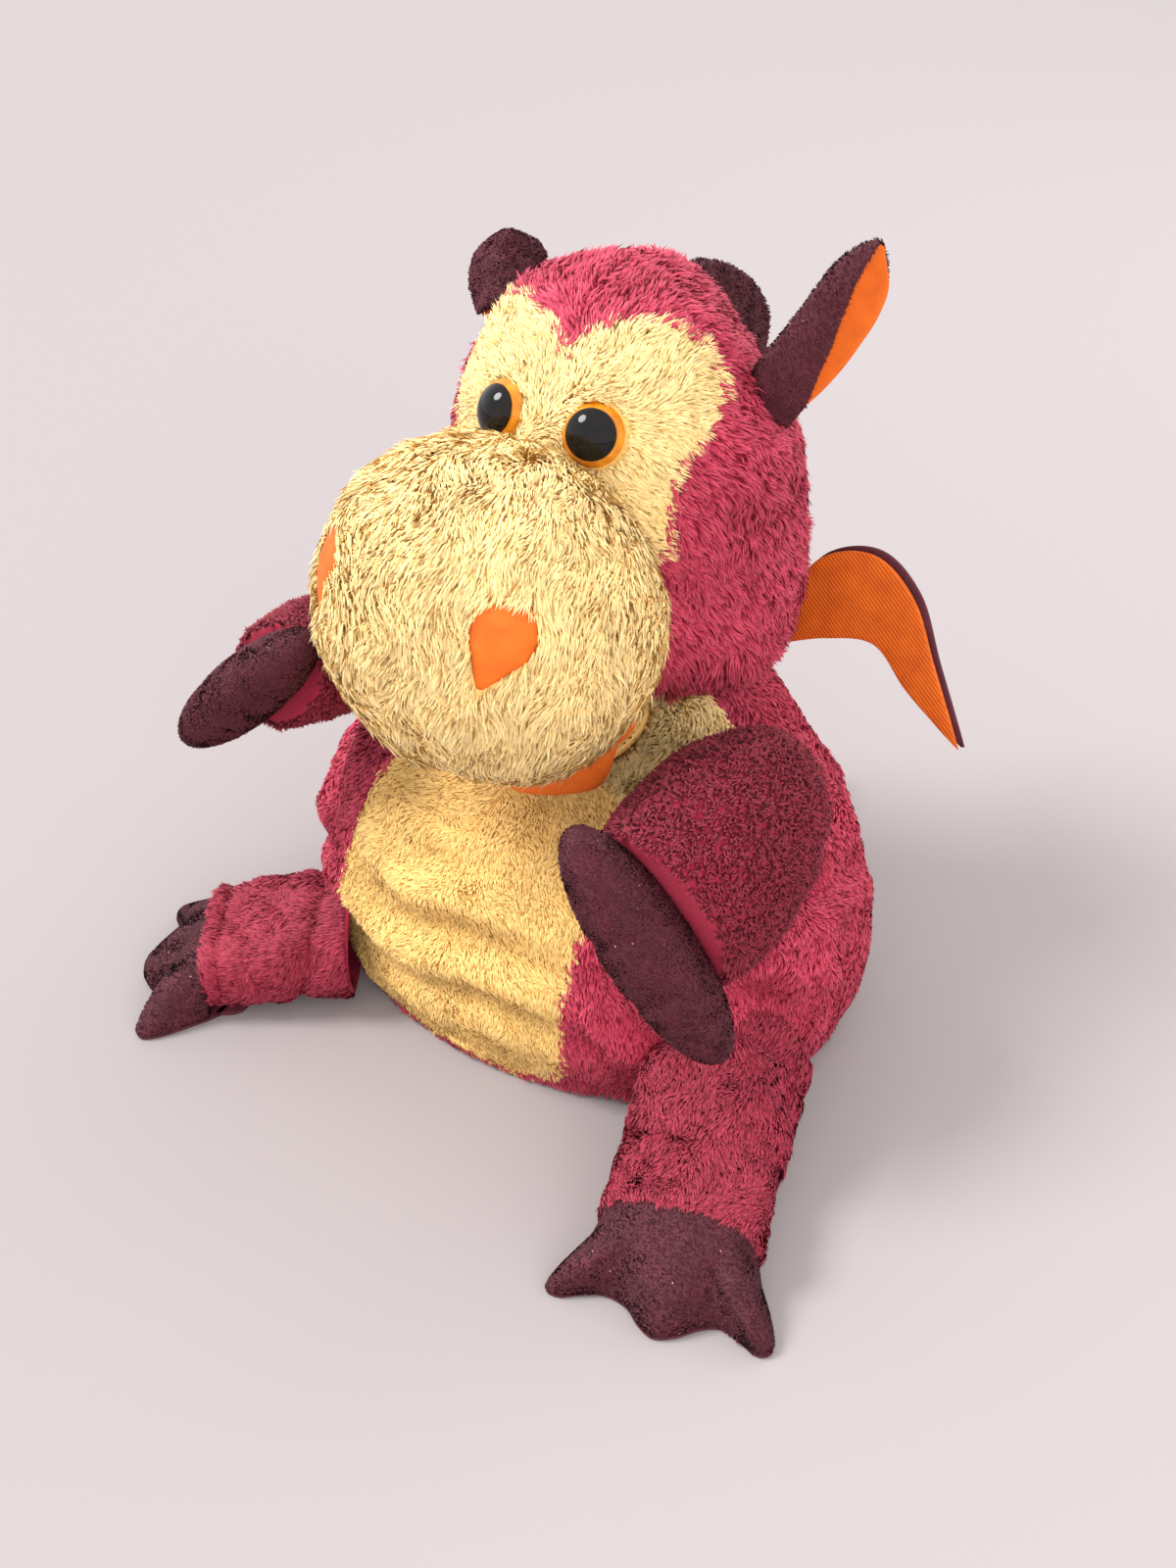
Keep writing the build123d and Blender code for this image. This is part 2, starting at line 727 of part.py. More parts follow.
with BuildPart() as tail_cover:
    add(tail_form(0))
    add(tail_form(PLUSH), mode=Mode.SUBTRACT)
save(tail_cover, "tail_cover")

with BuildPart() as tail_wadding:
    add(tail_form(PLUSH + GAP))
save(tail_wadding, "tail_wadding")

with BuildPart() as tail_tip:
    with BuildSketch(tail_plane(TAIL_SECTIONS[-1][0] + GAP)):
        Ellipse(9.5, 9)
    with BuildSketch(tail_plane(TAIL_TIP)):
        Ellipse(2.5, 2.5)
    loft()
save(tail_tip, "tail_tip")
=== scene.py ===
import itertools
import json
import math

import bpy
import numpy as np
from mathutils import Matrix, Vector

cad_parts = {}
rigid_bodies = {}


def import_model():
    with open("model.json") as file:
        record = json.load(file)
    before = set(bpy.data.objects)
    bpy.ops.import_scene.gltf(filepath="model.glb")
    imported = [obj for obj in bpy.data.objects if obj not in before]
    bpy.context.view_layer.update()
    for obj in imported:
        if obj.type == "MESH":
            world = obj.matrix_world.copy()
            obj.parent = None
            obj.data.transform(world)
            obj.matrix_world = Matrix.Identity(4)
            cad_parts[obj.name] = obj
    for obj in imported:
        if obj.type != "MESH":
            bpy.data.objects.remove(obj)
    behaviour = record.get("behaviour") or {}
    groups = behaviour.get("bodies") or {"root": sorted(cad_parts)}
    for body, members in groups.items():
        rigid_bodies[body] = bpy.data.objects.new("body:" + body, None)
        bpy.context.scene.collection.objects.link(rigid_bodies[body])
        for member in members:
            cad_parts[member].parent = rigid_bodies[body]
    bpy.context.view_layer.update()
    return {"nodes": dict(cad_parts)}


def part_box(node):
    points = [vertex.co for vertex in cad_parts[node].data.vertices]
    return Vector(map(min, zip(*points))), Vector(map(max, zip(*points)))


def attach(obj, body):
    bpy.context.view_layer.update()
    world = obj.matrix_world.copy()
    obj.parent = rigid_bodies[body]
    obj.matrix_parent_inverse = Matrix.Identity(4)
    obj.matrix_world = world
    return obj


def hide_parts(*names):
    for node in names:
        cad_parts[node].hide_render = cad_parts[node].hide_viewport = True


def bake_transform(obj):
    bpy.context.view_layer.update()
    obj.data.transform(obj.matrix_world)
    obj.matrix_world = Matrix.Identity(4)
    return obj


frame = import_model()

# Dragon glove puppet. Lengths below are millimetres in the CAD frame; meshes are made in metres.
MM = 0.001
SIDES = ((1, "left"), (-1, "right"))


# --- Small vector helpers ---------------------------------------------------------


def unit(v):
    # Every row at length one
    v = np.asarray(v, float)
    return v / np.maximum(np.linalg.norm(v, axis=-1, keepdims=True), 1e-9)


def heading(angle):
    # Horizontal direction, in degrees from -Y towards +X
    a = math.radians(angle)
    return np.array([math.sin(a), -math.cos(a), 0.0])


def turn(points, axis, angle, about=(0, 0, 0)):
    # Points turned by an angle in degrees
    spin = np.array(Matrix.Rotation(math.radians(angle), 3, Vector(axis)))
    about = np.asarray(about, float)
    return (np.asarray(points, float) - about) @ spin.T + about


def full_turn(count):
    # Angles evenly round one turn
    return np.linspace(0, 2 * math.pi, count, endpoint=False)


def signed_power(x, power):
    # Below 1 it squares off a sine or cosine, for a boxier outline
    return np.sign(x) * np.abs(x) ** power


def swell(x, centre, width):
    # Smooth bump of height 1 at the centre
    return np.exp(-(((x - centre) / width) ** 2))


def step(x, low, high):
    # Smooth rise from 0 at low to 1 at high
    t = np.clip((x - low) / (high - low), 0, 1)
    return t * t * (3 - 2 * t)


def noise(points, size, seed):
    # Smooth scalar noise in -1..1, from waves in random directions
    rng = np.random.default_rng(seed)
    total = np.zeros(len(points))
    for _ in range(9):
        wave = unit(rng.normal(size=3)) * 2 * math.pi / (size * rng.uniform(0.7, 1.5))
        total += np.sin(points @ wave + rng.uniform(0, 6.28))
    return total / 4.2


def swirl(points, size, seed):
    # Directions that wander smoothly from place to place
    return np.stack([noise(points, size, seed + k) for k in range(3)], 1)


def cell_centres(points, size, seed):
    # Nearest jittered grid point to each point, for tufts that lean together
    base = np.floor(points / size).astype(np.int64)
    best = np.full(len(points), 1e9)
    centre = np.zeros_like(points)
    shade = np.zeros(len(points))
    for shift in itertools.product((-1, 0, 1), repeat=3):
        cell = base + np.array(shift)
        code = cell @ np.array([73856093, 19349663, 83492791]) + seed * 7919
        jitter = [np.modf(np.abs(np.sin(code * k)) * 43758.5453)[0] for k in (0.0137, 0.0271, 0.0433)]
        jitter = np.stack(jitter, 1)
        spot = (cell + jitter) * size
        gap = np.linalg.norm(points - spot, axis=1)
        near = gap < best
        best = np.where(near, gap, best)
        centre[near] = spot[near]
        shade[near] = jitter[near, 0]
    return centre, shade


def add_object(name, data):
    # An object in the scene that holds the data
    piece = bpy.data.objects.new(name, data)
    bpy.context.scene.collection.objects.link(piece)
    return piece


# --- Materials --------------------------------------------------------------------


class Look:
    """A procedural material under construction, in the piece's own coordinates."""

    def __init__(self, name, roughness=0.8, sheen=0.0, sheen_tint=(1, 1, 1)):
        self.material = bpy.data.materials.new(name)
        self.material.use_nodes = True
        self.nodes = self.material.node_tree.nodes
        self.link = self.material.node_tree.links.new
        self.shader = self.nodes["Principled BSDF"].inputs
        self.shader["Roughness"].default_value = roughness
        self.shader["Sheen Weight"].default_value = sheen
        self.shader["Sheen Roughness"].default_value = 0.4
        self.shader["Sheen Tint"].default_value = (*sheen_tint, 1)

    def texture(self, kind, **values):
        place = self.nodes.new("ShaderNodeTexCoord")
        node = self.nodes.new("ShaderNodeTex" + kind)
        for socket, value in values.items():
            node.inputs[socket].default_value = value
        self.link(place.outputs["Object"], node.inputs["Vector"])
        return node

    def noise(self, scale, detail=3.0):
        return self.texture("Noise", Scale=scale, Detail=detail).outputs[0]

    def ramp(self, source, stops):
        node = self.nodes.new("ShaderNodeValToRGB")
        elements = node.color_ramp.elements
        while len(elements) < len(stops):
            elements.new(0.5)
        for element, (place, colour) in zip(elements, stops):
            element.position = place
            element.color = (*colour, 1)
        self.link(source, node.inputs[0])
        return node.outputs[0]

    def mix(self, kind, factor, first, second):
        node = self.nodes.new("ShaderNodeMix")
        node.data_type = "RGBA"
        node.blend_type = kind
        for socket, value in ((node.inputs[0], factor), (node.inputs[6], first), (node.inputs[7], second)):
            if isinstance(value, bpy.types.NodeSocket):
                self.link(value, socket)
            else:
                socket.default_value = (*value, 1) if isinstance(value, tuple) else value
        return node.outputs[2]

    def bump(self, height, strength, distance):
        node = self.nodes.new("ShaderNodeBump")
        node.inputs["Strength"].default_value = strength
        node.inputs["Distance"].default_value = distance
        self.link(height, node.inputs["Height"])
        self.link(node.outputs["Normal"], self.shader["Normal"])

    def finish(self, colour):
        self.link(colour, self.shader["Base Color"])
        return self.material


# The two ends of a mask
ON, OFF = (1, 1, 1), (0, 0, 0)


def pile_material(name, root, middle, tip, sheen):
    # Along each tuft the colour runs from root to tip over the pile's own tone: the darker root is painted shade
    # between the tufts and the paler tip a painted highlight; across the map it runs from shaded to bright tufts
    look = Look(name, 0.78, sheen, tip)
    place = look.nodes.new("ShaderNodeUVMap")
    place.uv_map = "OFBake"
    parts = look.nodes.new("ShaderNodeSeparateXYZ")
    look.link(place.outputs[0], parts.inputs[0])
    along = look.ramp(parts.outputs["Y"], [(0.0, root), (0.5, middle), (1.0, tip)])
    shades = [(0.0, (0.78, 0.72, 0.70)), (0.5, (0.98, 0.97, 0.96)), (1.0, (1.14, 1.13, 1.12))]
    return look.finish(look.mix("MULTIPLY", 1.0, along, look.ramp(parts.outputs["X"], shades)))


def backing_material(name, colour):
    # The knitted ground between the tufts
    look = Look(name, 0.95)
    fine = look.noise(900.0, 4.0)
    look.bump(fine, 0.5, 0.0006)
    return look.finish(look.ramp(fine, [(0.3, tuple(c * 0.8 for c in colour)), (0.7, colour)]))


def velour_material():
    # Short dense nap: dark, red where it turns away, with a few pale flecks painted in as glints of its glitter
    look = Look("maroon_velour", 0.80, 0.05, (0.45, 0.10, 0.14))
    tones = [(0.30, (0.060, 0.008, 0.014)), (0.55, (0.085, 0.012, 0.021)), (0.75, (0.12, 0.018, 0.030))]
    fine = look.noise(1500.0, 2.0)
    grain = look.ramp(fine, [(0.3, (0.85, 0.85, 0.85)), (0.7, (1.12, 1.1, 1.1))])
    cloth = look.mix("MULTIPLY", 1.0, look.ramp(look.noise(120.0, 5.0), tones), grain)
    glint_cells = look.texture("Voronoi", Scale=420.0).outputs
    glint_spots = look.ramp(glint_cells["Distance"], [(0.0, ON), (0.10, ON), (0.14, OFF)])
    glint_choice = look.ramp(glint_cells["Color"], [(0.80, OFF), (0.84, ON)])
    mask = look.mix("MULTIPLY", 1.0, glint_spots, glint_choice)
    look.bump(fine, 0.55, 0.0005)
    # The pale flecks are painted glints
    return look.finish(look.mix("MIX", mask, cloth, (0.55, 0.33, 0.34)))


def tricot_material(name, ribs):
    # Brushed orange tricot; the wing's face has fine ribs
    look = Look(name, 0.75, 0.04, (1.0, 0.55, 0.25))
    shades = look.ramp(look.noise(160.0), [(0.25, (0.62, 0.100, 0.003)), (0.75, (0.78, 0.150, 0.005))])
    wave = look.texture("Wave", Scale=330.0 if ribs else 520.0, Distortion=0.6)
    wave.bands_direction = "DIAGONAL" if ribs else "X"
    lines = look.ramp(wave.outputs[0], [(0.0, (0.72, 0.66, 0.6)), (0.6, ON)])
    look.bump(wave.outputs[0], 0.5 if ribs else 0.2, 0.0004)
    return look.finish(look.mix("MULTIPLY", 0.7 if ribs else 0.25, shades, lines))


def woven_material(name, colour, scale=1.0):
    # Plain woven lining
    look = Look(name, 0.9)
    dark = tuple(c * 0.7 for c in colour)
    weave = look.texture("Checker", Scale=1400.0 * scale, Color1=(*colour, 1), Color2=(*dark, 1)).outputs
    soft = look.ramp(look.noise(70.0), [(0.3, (0.8, 0.8, 0.8)), (0.7, (1.1, 1.1, 1.1))])
    look.bump(weave["Fac"], 0.3, 0.0002)
    return look.finish(look.mix("MULTIPLY", 1.0, weave["Color"], soft))


def glossy_material(name, inner, outer, scale, level):
    # Polished moulded plastic with a faint cloud in its depth
    look = Look(name, 0.06)
    look.shader["Specular IOR Level"].default_value = level
    return look.finish(look.ramp(look.noise(scale, 2.0), [(0.35, inner), (0.65, outer)]))


# Tones at a tuft's root, middle and tip, and its sheen
RASPBERRY_PILE, SHADED_RASPBERRY_LOOPS, SHADED_RASPBERRY_PILE, NAP, YELLOW_PILE, BELLY_PILE = (pile_material(*row) for row in (
    ("raspberry_pile", (0.34, 0.014, 0.042), (0.52, 0.034, 0.080), (0.74, 0.110, 0.170), 0.03),
    # Sleeve loops: the raspberry plush darkened with painted shade
    ("raspberry_loops", (0.05, 0.001, 0.004), (0.13, 0.003, 0.013), (0.42, 0.040, 0.072), 0.01),
    # Leg and hip pile: the raspberry plush darkened with painted shade
    ("raspberry_deep", (0.12, 0.003, 0.014), (0.25, 0.010, 0.030), (0.52, 0.058, 0.100), 0.02),
    ("maroon_nap", (0.060, 0.007, 0.013), (0.090, 0.011, 0.020), (0.165, 0.026, 0.040), 0.02),
    ("yellow_pile", (0.96, 0.54, 0.15), (0.99, 0.70, 0.28), (0.97, 0.79, 0.42), 0.01),
    ("belly_pile", (0.88, 0.47, 0.11), (0.96, 0.60, 0.18), (1.0, 0.74, 0.31), 0.04),
))
RASPBERRY_GROUND = backing_material("raspberry_ground", (0.34, 0.016, 0.045))
YELLOW_GROUND = backing_material("yellow_ground", (0.96, 0.62, 0.20))
BELLY_GROUND = backing_material("belly_ground", (0.92, 0.54, 0.15))
VELOUR = velour_material()
TRICOT = tricot_material("orange_tricot", False)
RIBBED = tricot_material("orange_ribbed_tricot", True)
LINING = woven_material("lining_weave", (0.20, 0.030, 0.045))
BOARD = woven_material("mouth_board_sheet", (0.62, 0.60, 0.55), 0.2)
THREAD = woven_material("seam_thread", (0.22, 0.02, 0.045), 2.0)
AMBER = glossy_material("amber_plastic", (0.50, 0.15, 0.004), (0.72, 0.26, 0.010), 260.0, 0.45)
BLACK = glossy_material("black_plastic", (0.003, 0.003, 0.003), (0.008, 0.006, 0.005), 200.0, 0.25)
WASHER = woven_material("washer_plastic", (0.75, 0.75, 0.74), 0.2)


# The slot that each material fills
SLOTS = {
    material.name: slot
    for slot, materials in {
        "raspberry_plush": (RASPBERRY_PILE, SHADED_RASPBERRY_LOOPS, SHADED_RASPBERRY_PILE, RASPBERRY_GROUND),
        "yellow_plush": (YELLOW_PILE, YELLOW_GROUND),
        "belly_plush": (BELLY_PILE, BELLY_GROUND),
        "maroon_velour": (NAP, VELOUR),
        "orange_tricot": (TRICOT, RIBBED),
        "lining_cloth": (LINING, THREAD),
        "mouth_board": (BOARD,),
    }.items()
    for material in materials
}


# --- Meshes -----------------------------------------------------------------------


class Skin:
    """Points and faces of one cover, in millimetres, before it becomes an object."""

    def __init__(self, points, faces):
        self.points = np.asarray(points, float)
        self.faces = faces

    def triangles(self):
        tris = [f for f in self.faces if len(f) == 3]
        for f in self.faces:
            if len(f) == 4:
                tris += [(f[0], f[1], f[2]), (f[0], f[2], f[3])]
        return np.array(tris)

    def normals(self):
        tri = self.triangles()
        a, b, c = (self.points[tri[:, k]] for k in range(3))
        face = np.cross(b - a, c - a)
        total = np.zeros_like(self.points)
        for k in range(3):
            np.add.at(total, tri[:, k], face)
        return unit(total)


def make(name, skin, material, body=None, replaces=(), thickness=0.0):
    # One mesh object from a skin, with an optional inner side
    mesh = bpy.data.meshes.new(name)
    mesh.from_pydata((skin.points * MM).tolist(), [], [tuple(int(i) for i in f) for f in skin.faces])
    mesh.validate()
    mesh.polygons.foreach_set("use_smooth", [True] * len(mesh.polygons))
    piece = add_object(name, mesh)
    mesh.materials.append(material)
    if thickness:
        solid = piece.modifiers.new("thickness", "SOLIDIFY")
        solid.thickness = thickness * MM
        solid.offset = -1.0
    if body:
        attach(piece, body)
    if replaces:
        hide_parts(*replaces)
    return piece


def ball_skin(level):
    # Unit sphere with even triangles
    import bmesh

    bm = bmesh.new()
    bmesh.ops.create_icosphere(bm, subdivisions=level, radius=1.0)
    points = np.array([v.co for v in bm.verts])
    faces = [tuple(v.index for v in f.verts) for f in bm.faces]
    bm.free()
    return Skin(points, faces)


def tube_skin(rings, closed_ends=False):
    # Rings of equal length, joined; each ring is a loop of points
    rings = np.asarray(rings, float)
    n, m = rings.shape[:2]
    i, j = np.meshgrid(np.arange(n - 1), np.arange(m), indexing="ij")
    a = i * m + j
    b = i * m + (j + 1) % m
    faces = np.stack([a, b, b + m, a + m], -1).reshape(-1, 4).tolist()
    points = rings.reshape(-1, 3)
    if closed_ends:
        points = np.vstack([points, rings[0].mean(0), rings[-1].mean(0)])
        first, last = n * m, n * m + 1
        faces += [(first, (k + 1) % m, k) for k in range(m)]
        faces += [(last, (n - 1) * m + k, (n - 1) * m + (k + 1) % m) for k in range(m)]
    return Skin(points, faces)


def part_of(skin, keep):
    # The faces whose corners are all kept
    used = [f for f in skin.faces if all(keep[k] for k in f)]
    index = np.full(len(skin.points), -1)
    order = sorted({k for f in used for k in f})
    index[order] = np.arange(len(order))
    return Skin(skin.points[order], [tuple(index[k] for k in f) for f in used])


def grid_slab(flat, offset, thickness):
    # A sewn layer on a curved grid: rounded at its rim and puffed in the middle
    along = np.gradient(flat, axis=0)
    across = np.gradient(flat, axis=1)
    normal = unit(np.cross(across, along))
    rows, columns = flat.shape[:2]
    v = np.linspace(0, 1, columns)
    u = np.linspace(0, 1, rows)
    width = np.linalg.norm(flat[:, -1] - flat[:, 0], axis=1)
    edge = np.sqrt(np.clip(4 * v * (1 - v), 0, 1)) ** 0.7
    closing = np.clip((1.004 - u) * 9, 0, 1)[:, None] ** 0.5
    puff = edge[None, :] * np.clip(width / 5 + 0.15, 0, 1)[:, None] * closing
    top = flat + normal * (offset + puff * thickness / 2)[..., None]
    low = flat + normal * (offset - puff * thickness / 2)[..., None]
    return tube_skin(np.concatenate([top, low[:, ::-1]], axis=1), closed_ends=True)


def slab_skin(first, second, thickness, rows=40, columns=18):
    # A flat sewn piece between two edge curves
    u = np.linspace(0, 1, rows)
    a, b = curve_points(first, u), curve_points(second, u)
    v = (1 - np.cos(np.linspace(0, math.pi, columns))) / 2
    return grid_slab(a[:, None] * (1 - v)[None, :, None] + b[:, None] * v[None, :, None], 0.0, thickness)


def curve_points(points, u):
    # Smooth curve through the points, at shares u of its parameter
    points = np.asarray(points, float)
    spot = np.asarray(u) * (len(points) - 1)
    k = np.clip(spot.astype(int), 0, len(points) - 2)
    t = (spot - k)[:, None]
    p = np.vstack([2 * points[0] - points[1], points, 2 * points[-1] - points[-2]])
    p0, p1, p2, p3 = p[k], p[k + 1], p[k + 2], p[k + 3]
    square, cube = 2 * p0 - 5 * p1 + 4 * p2 - p3, 3 * p1 - p0 - 3 * p2 + p3
    return 0.5 * (2 * p1 + (p2 - p0) * t + square * t**2 + cube * t**3)


# --- Pile -------------------------------------------------------------------------

# No tuft goes lower than this
FLOOR_GAP = 0.2


def pile(name, skin, count, length, width, flow, material, body, seed, lean=0.6, clump=0.5,
         clump_size=3.0, keep=None, sink=1.0, stray=0.25, sides=2, patch=25.0, grain=0.28):
    # Tufts rooted all over a skin, leaning along the flow and drawn together into clumps
    rng = np.random.default_rng(seed)
    tri = skin.triangles()
    normals = skin.normals()
    a, b, c = (skin.points[tri[:, k]] for k in range(3))
    area = np.linalg.norm(np.cross(b - a, c - a), axis=1)
    pick = rng.choice(len(tri), count, p=area / area.sum())
    r1, r2 = np.sqrt(rng.random(count)), rng.random(count)
    bary = np.stack([1 - r1, r1 * (1 - r2), r1 * r2], 1)[..., None]
    root = (skin.points[tri[pick]] * bary).sum(1)
    normal = unit((normals[tri[pick]] * bary).sum(1))
    if keep is not None:
        good = keep(root)
        root, normal = root[good], normal[good]
        count = len(root)
    along = flow(root, normal)
    along = unit(along - normal * (along * normal).sum(1, keepdims=True))
    centre, shade = cell_centres(root, clump_size, seed)
    rough = rng.normal(size=(count, 3)) * stray
    swirled = swirl(root, 14.0, seed) * 0.35
    reach = length * rng.uniform(0.75, 1.15, (count, 1)) * (0.8 + 0.4 * shade[:, None])
    aim = unit(normal * (1 - lean) + along * lean + rough * 0.5 + swirled * 0.6)
    pull = (centre - root) - normal * ((centre - root) * normal).sum(1, keepdims=True)
    start = root - normal * sink
    rise = unit(normal * (1.2 - lean) + along * lean * 0.6 + rough * 0.4)
    middle = root + rise * reach * 0.5 + pull * clump * 0.4
    tip = root + aim * reach + pull * clump
    side = unit(np.cross(aim, rng.normal(size=(count, 3)) * 0.7 + normal))
    # Every tuft's front faces away from the cover
    side *= np.where((np.cross(side, aim) * normal).sum(1, keepdims=True) < 0, -1.0, 1.0)
    half = width * rng.uniform(0.7, 1.2, (count, 1)) / 2
    if sides == 2:
        points = [start - side * half, start + side * half]
        points += [middle + side * half * 0.8, middle - side * half * 0.8, tip]
        pattern = [(0, 1, 2, 3), (3, 2, 4)]
        heights = [0.0, 0.0, 0.5, 0.5, 1.0]
    else:
        other = unit(np.cross(aim, side))
        ring = [side, -0.5 * side + 0.87 * other, -0.5 * side - 0.87 * other]
        points = [start + k * half for k in ring] + [middle + k * half * 0.85 for k in ring] + [tip]
        pattern = [(0, 1, 4, 3), (1, 2, 5, 4), (2, 0, 3, 5), (3, 4, 6), (4, 5, 6), (5, 3, 6)]
        heights = [0.0, 0.0, 0.0, 0.5, 0.5, 0.5, 1.0]
    points = np.stack(points, 1)
    points[..., 2] = np.maximum(points[..., 2], FLOOR_GAP)
    size = points.shape[1]
    base = (np.arange(count) * size)[:, None]
    loops, starts = [], []
    for face in pattern:
        starts.append(len(loops))
        loops += face
    run = len(loops)
    loop_index = (base + np.array(loops)).ravel()
    mesh = bpy.data.meshes.new(name)
    mesh.vertices.add(count * size)
    mesh.vertices.foreach_set("co", (points.reshape(-1, 3) * MM).ravel())
    mesh.loops.add(len(loop_index))
    mesh.loops.foreach_set("vertex_index", loop_index)
    mesh.polygons.add(count * len(pattern))
    mesh.polygons.foreach_set("loop_start", ((np.arange(count) * run)[:, None] + np.array(starts)).ravel())
    mesh.update(calc_edges=True)
    mesh.polygons.foreach_set("use_smooth", [True] * len(mesh.polygons))
    bright = 0.5 + 0.22 * noise(root, patch, seed + 5) + 0.3 * (shade - 0.5) + rng.uniform(-0.12, 0.12, count)
    bright = np.clip(bright, 0.02, 0.98)
    u = np.repeat(bright, size)[loop_index]
    v = np.tile(np.array(heights) * 0.96 + 0.02, count)[loop_index]
    # Each tuft is a narrow strip of the map, so that its triangles have some area there
    offset = np.tile(np.linspace(-0.004, 0.004, size), count)[loop_index]
    mesh.uv_layers.new(name="OFBake").data.foreach_set("uv", np.stack([u + offset, v], 1).ravel())
    mesh.materials.append(material)
    # Tufts catch the light mostly as the cover beneath them does, which keeps the pile soft
    soft = unit(normal + aim * 0.35 + rng.normal(size=(count, 3)) * grain)
    mesh.normals_split_custom_set_from_vertices(np.repeat(soft, size, axis=0))
    piece = add_object(name, mesh)
    if body:
        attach(piece, body)
    return piece


# How the close, brushed plush of the glove and legs lies; the belly's is shorter still
SMOOTH = {"clump": 0.15, "stray": 0.16, "grain": 0.14}


# --- Body forms, in millimetres ----------------------------------------------------

YAW = -7.0
TORSO = np.array([
    (0.0, 2.5, 0.0, 103.0, 77.0),
    (0.0, 20.0, 0.0, 109.0, 82.0),
    (0.0, 42.0, 0.0, 111.0, 85.0),
    (1.0, 64.0, 2.0, 105.0, 80.0),
    (2.0, 84.0, 4.0, 94.0, 70.0),
    (9.0, 108.0, 12.0, 65.0, 50.0),
    (17.0, 132.0, 20.0, 41.0, 31.0),
])
SKULL, SKULL_RADII = np.array((0.0, 26.0, 195.0)), np.array((59.0, 57.0, 64.0))
MUZZLE, MUZZLE_RADII = np.array((0.0, -58.0, 172.0)), np.array((56.0, 46.0, 53.0))
NOD_Y, NOD_Z, BARREL = 17.0, 142.0, 30.0
MOUTH_SLOPE, NAPE_SLOPE = 13.0, 24.0
BRIDGE = np.array((0.0, -46.0, 226.0))


def torso_point(angle, height, inward=0.0):
    # Angle from +X towards +Y in degrees; height is a share from hem to neck
    rows = curve_points(TORSO, height)
    a = np.radians(angle)
    tilt = np.radians(rows[:, 2])
    across, deep = rows[:, 3] - inward, rows[:, 4] - inward
    x = across * np.cos(a)
    y = rows[:, 0] + deep * np.sin(a) * np.cos(tilt)
    z = rows[:, 1] + deep * np.sin(a) * np.sin(tilt)
    yaw = np.radians(YAW * step(-rows[:, 1], -125, -95))
    return np.stack([x * np.cos(yaw) - y * np.sin(yaw), x * np.sin(yaw) + y * np.cos(yaw), z], 1)


def belly_frame(points):
    # Across and height on the belly panel, which faces the body's own front
    yaw = math.radians(-YAW)
    return points[:, 0] * math.cos(yaw) - points[:, 1] * math.sin(yaw), points[:, 2]


def belly_inside(points, margin=0.0):
    across, up = belly_frame(points)
    yaw = math.radians(-YAW)
    front = points[:, 0] * math.sin(yaw) + points[:, 1] * math.cos(yaw) < 0
    half, low, high, corner = 51.0 + margin, 4.0 - margin, 104.0 + margin, 20.0
    dx = np.maximum(np.abs(across) - (half - corner), 0)
    dz = np.maximum(np.maximum(up - (high - corner), (low + corner) - up), 0)
    return front & (np.hypot(dx, dz) < corner) & (np.abs(across) < half) & (up < high) & (up > low)


# Creases of the glove: the points each one passes, its depth and its half width
CREASES = [
    ([(78, -62, 60), (88, -41, 71), (98, -17, 76), (94, 34, 62)], 5.0, 5.0),
    ([(62, 34, 108), (69, 39, 95), (83, 18, 93), (94, 0, 82)], 3.6, 4.0),
    ([(60, 46, 106), (72, 43, 88), (88, 28, 78), (96, 34, 60)], 3.4, 4.5),
    ([(80, -60, 58), (86, -53, 54), (97, -44, 46), (109, -20, 34)], 4.0, 5.5),
    ([(53, -74, 58), (60, -73, 46), (72, -67, 34), (84, -56, 26)], 4.0, 4.0),
    ([(-48, -66, 76), (-20, -70, 74), (0, -70, 79), (30, -64, 76)], 3.2, 5.0),
    ([(-50, -72, 54), (-20, -79, 52), (5, -80, 57), (46, -74, 52)], 3.6, 5.5),
    ([(-52, -70, 30), (-20, -82, 29), (5, -85, 37), (50, -79, 34)], 3.4, 5.5),
    ([(-84, -40, 66), (-92, -20, 74), (-94, 16, 70), (-84, 44, 58)], 4.6, 5.0),
    ([(-60, 40, 108), (-74, 34, 92), (-88, 20, 80), (-98, 10, 60)], 3.4, 4.5),
    ([(-70, -62, 52), (-84, -52, 44), (-98, -30, 36), (-106, -8, 30)], 3.6, 5.0),
    ([(-40, 72, 84), (-30, 78, 62), (-36, 84, 40), (-30, 84, 18)], 3.4, 6.0),
    ([(34, 70, 88), (28, 78, 64), (38, 82, 42), (34, 82, 20)], 3.4, 6.0),
    ([(4, 70, 92), (0, 80, 66), (-2, 85, 40), (2, 84, 26)], 2.6, 6.0),
]


def torso_folds(points):
    # Creases with soft rolls beside them, over gently uneven cloth
    across, up = belly_frame(points)
    inside = belly_inside(points, -6)
    side = 1.5 * noise(points * (1, 1, 0.25), 42.0, 3) + 0.8 * noise(points * (1, 1, 0.35), 20.0, 4)
    total = np.where(inside, 0.4 * side, side) - 0.6
    for spots, depth, half in CREASES:
        line = curve_points(spots, np.linspace(0, 1, 60))
        gap = np.full(len(points), 1e9)
        share = np.zeros(len(points))
        for k, spot in enumerate(line):
            d = np.linalg.norm(points - spot, axis=1)
            share = np.where(d < gap, k / 59, share)
            gap = np.minimum(gap, d)
        fade = np.sin(math.pi * np.clip(share, 0.04, 0.96)) ** 0.5
        gap = np.maximum(gap - 1.5, 0)
        total -= depth * fade * np.exp(-((gap / half) ** 2))
        total += 0.45 * depth * fade * np.exp(-(((gap - 2.1 * half) / (0.9 * half)) ** 2))
    edge = step(up, 0, 12) * step(-up, -128, -112)
    return total * edge


def push(points, normal, amount):
    # Points moved along their normals
    return points + normal * np.asarray(amount)[:, None]


def mouth_height(y):
    # Height of the sloping mouth plane at depth y
    return NOD_Z - (NOD_Y - y) * math.tan(math.radians(MOUTH_SLOPE))


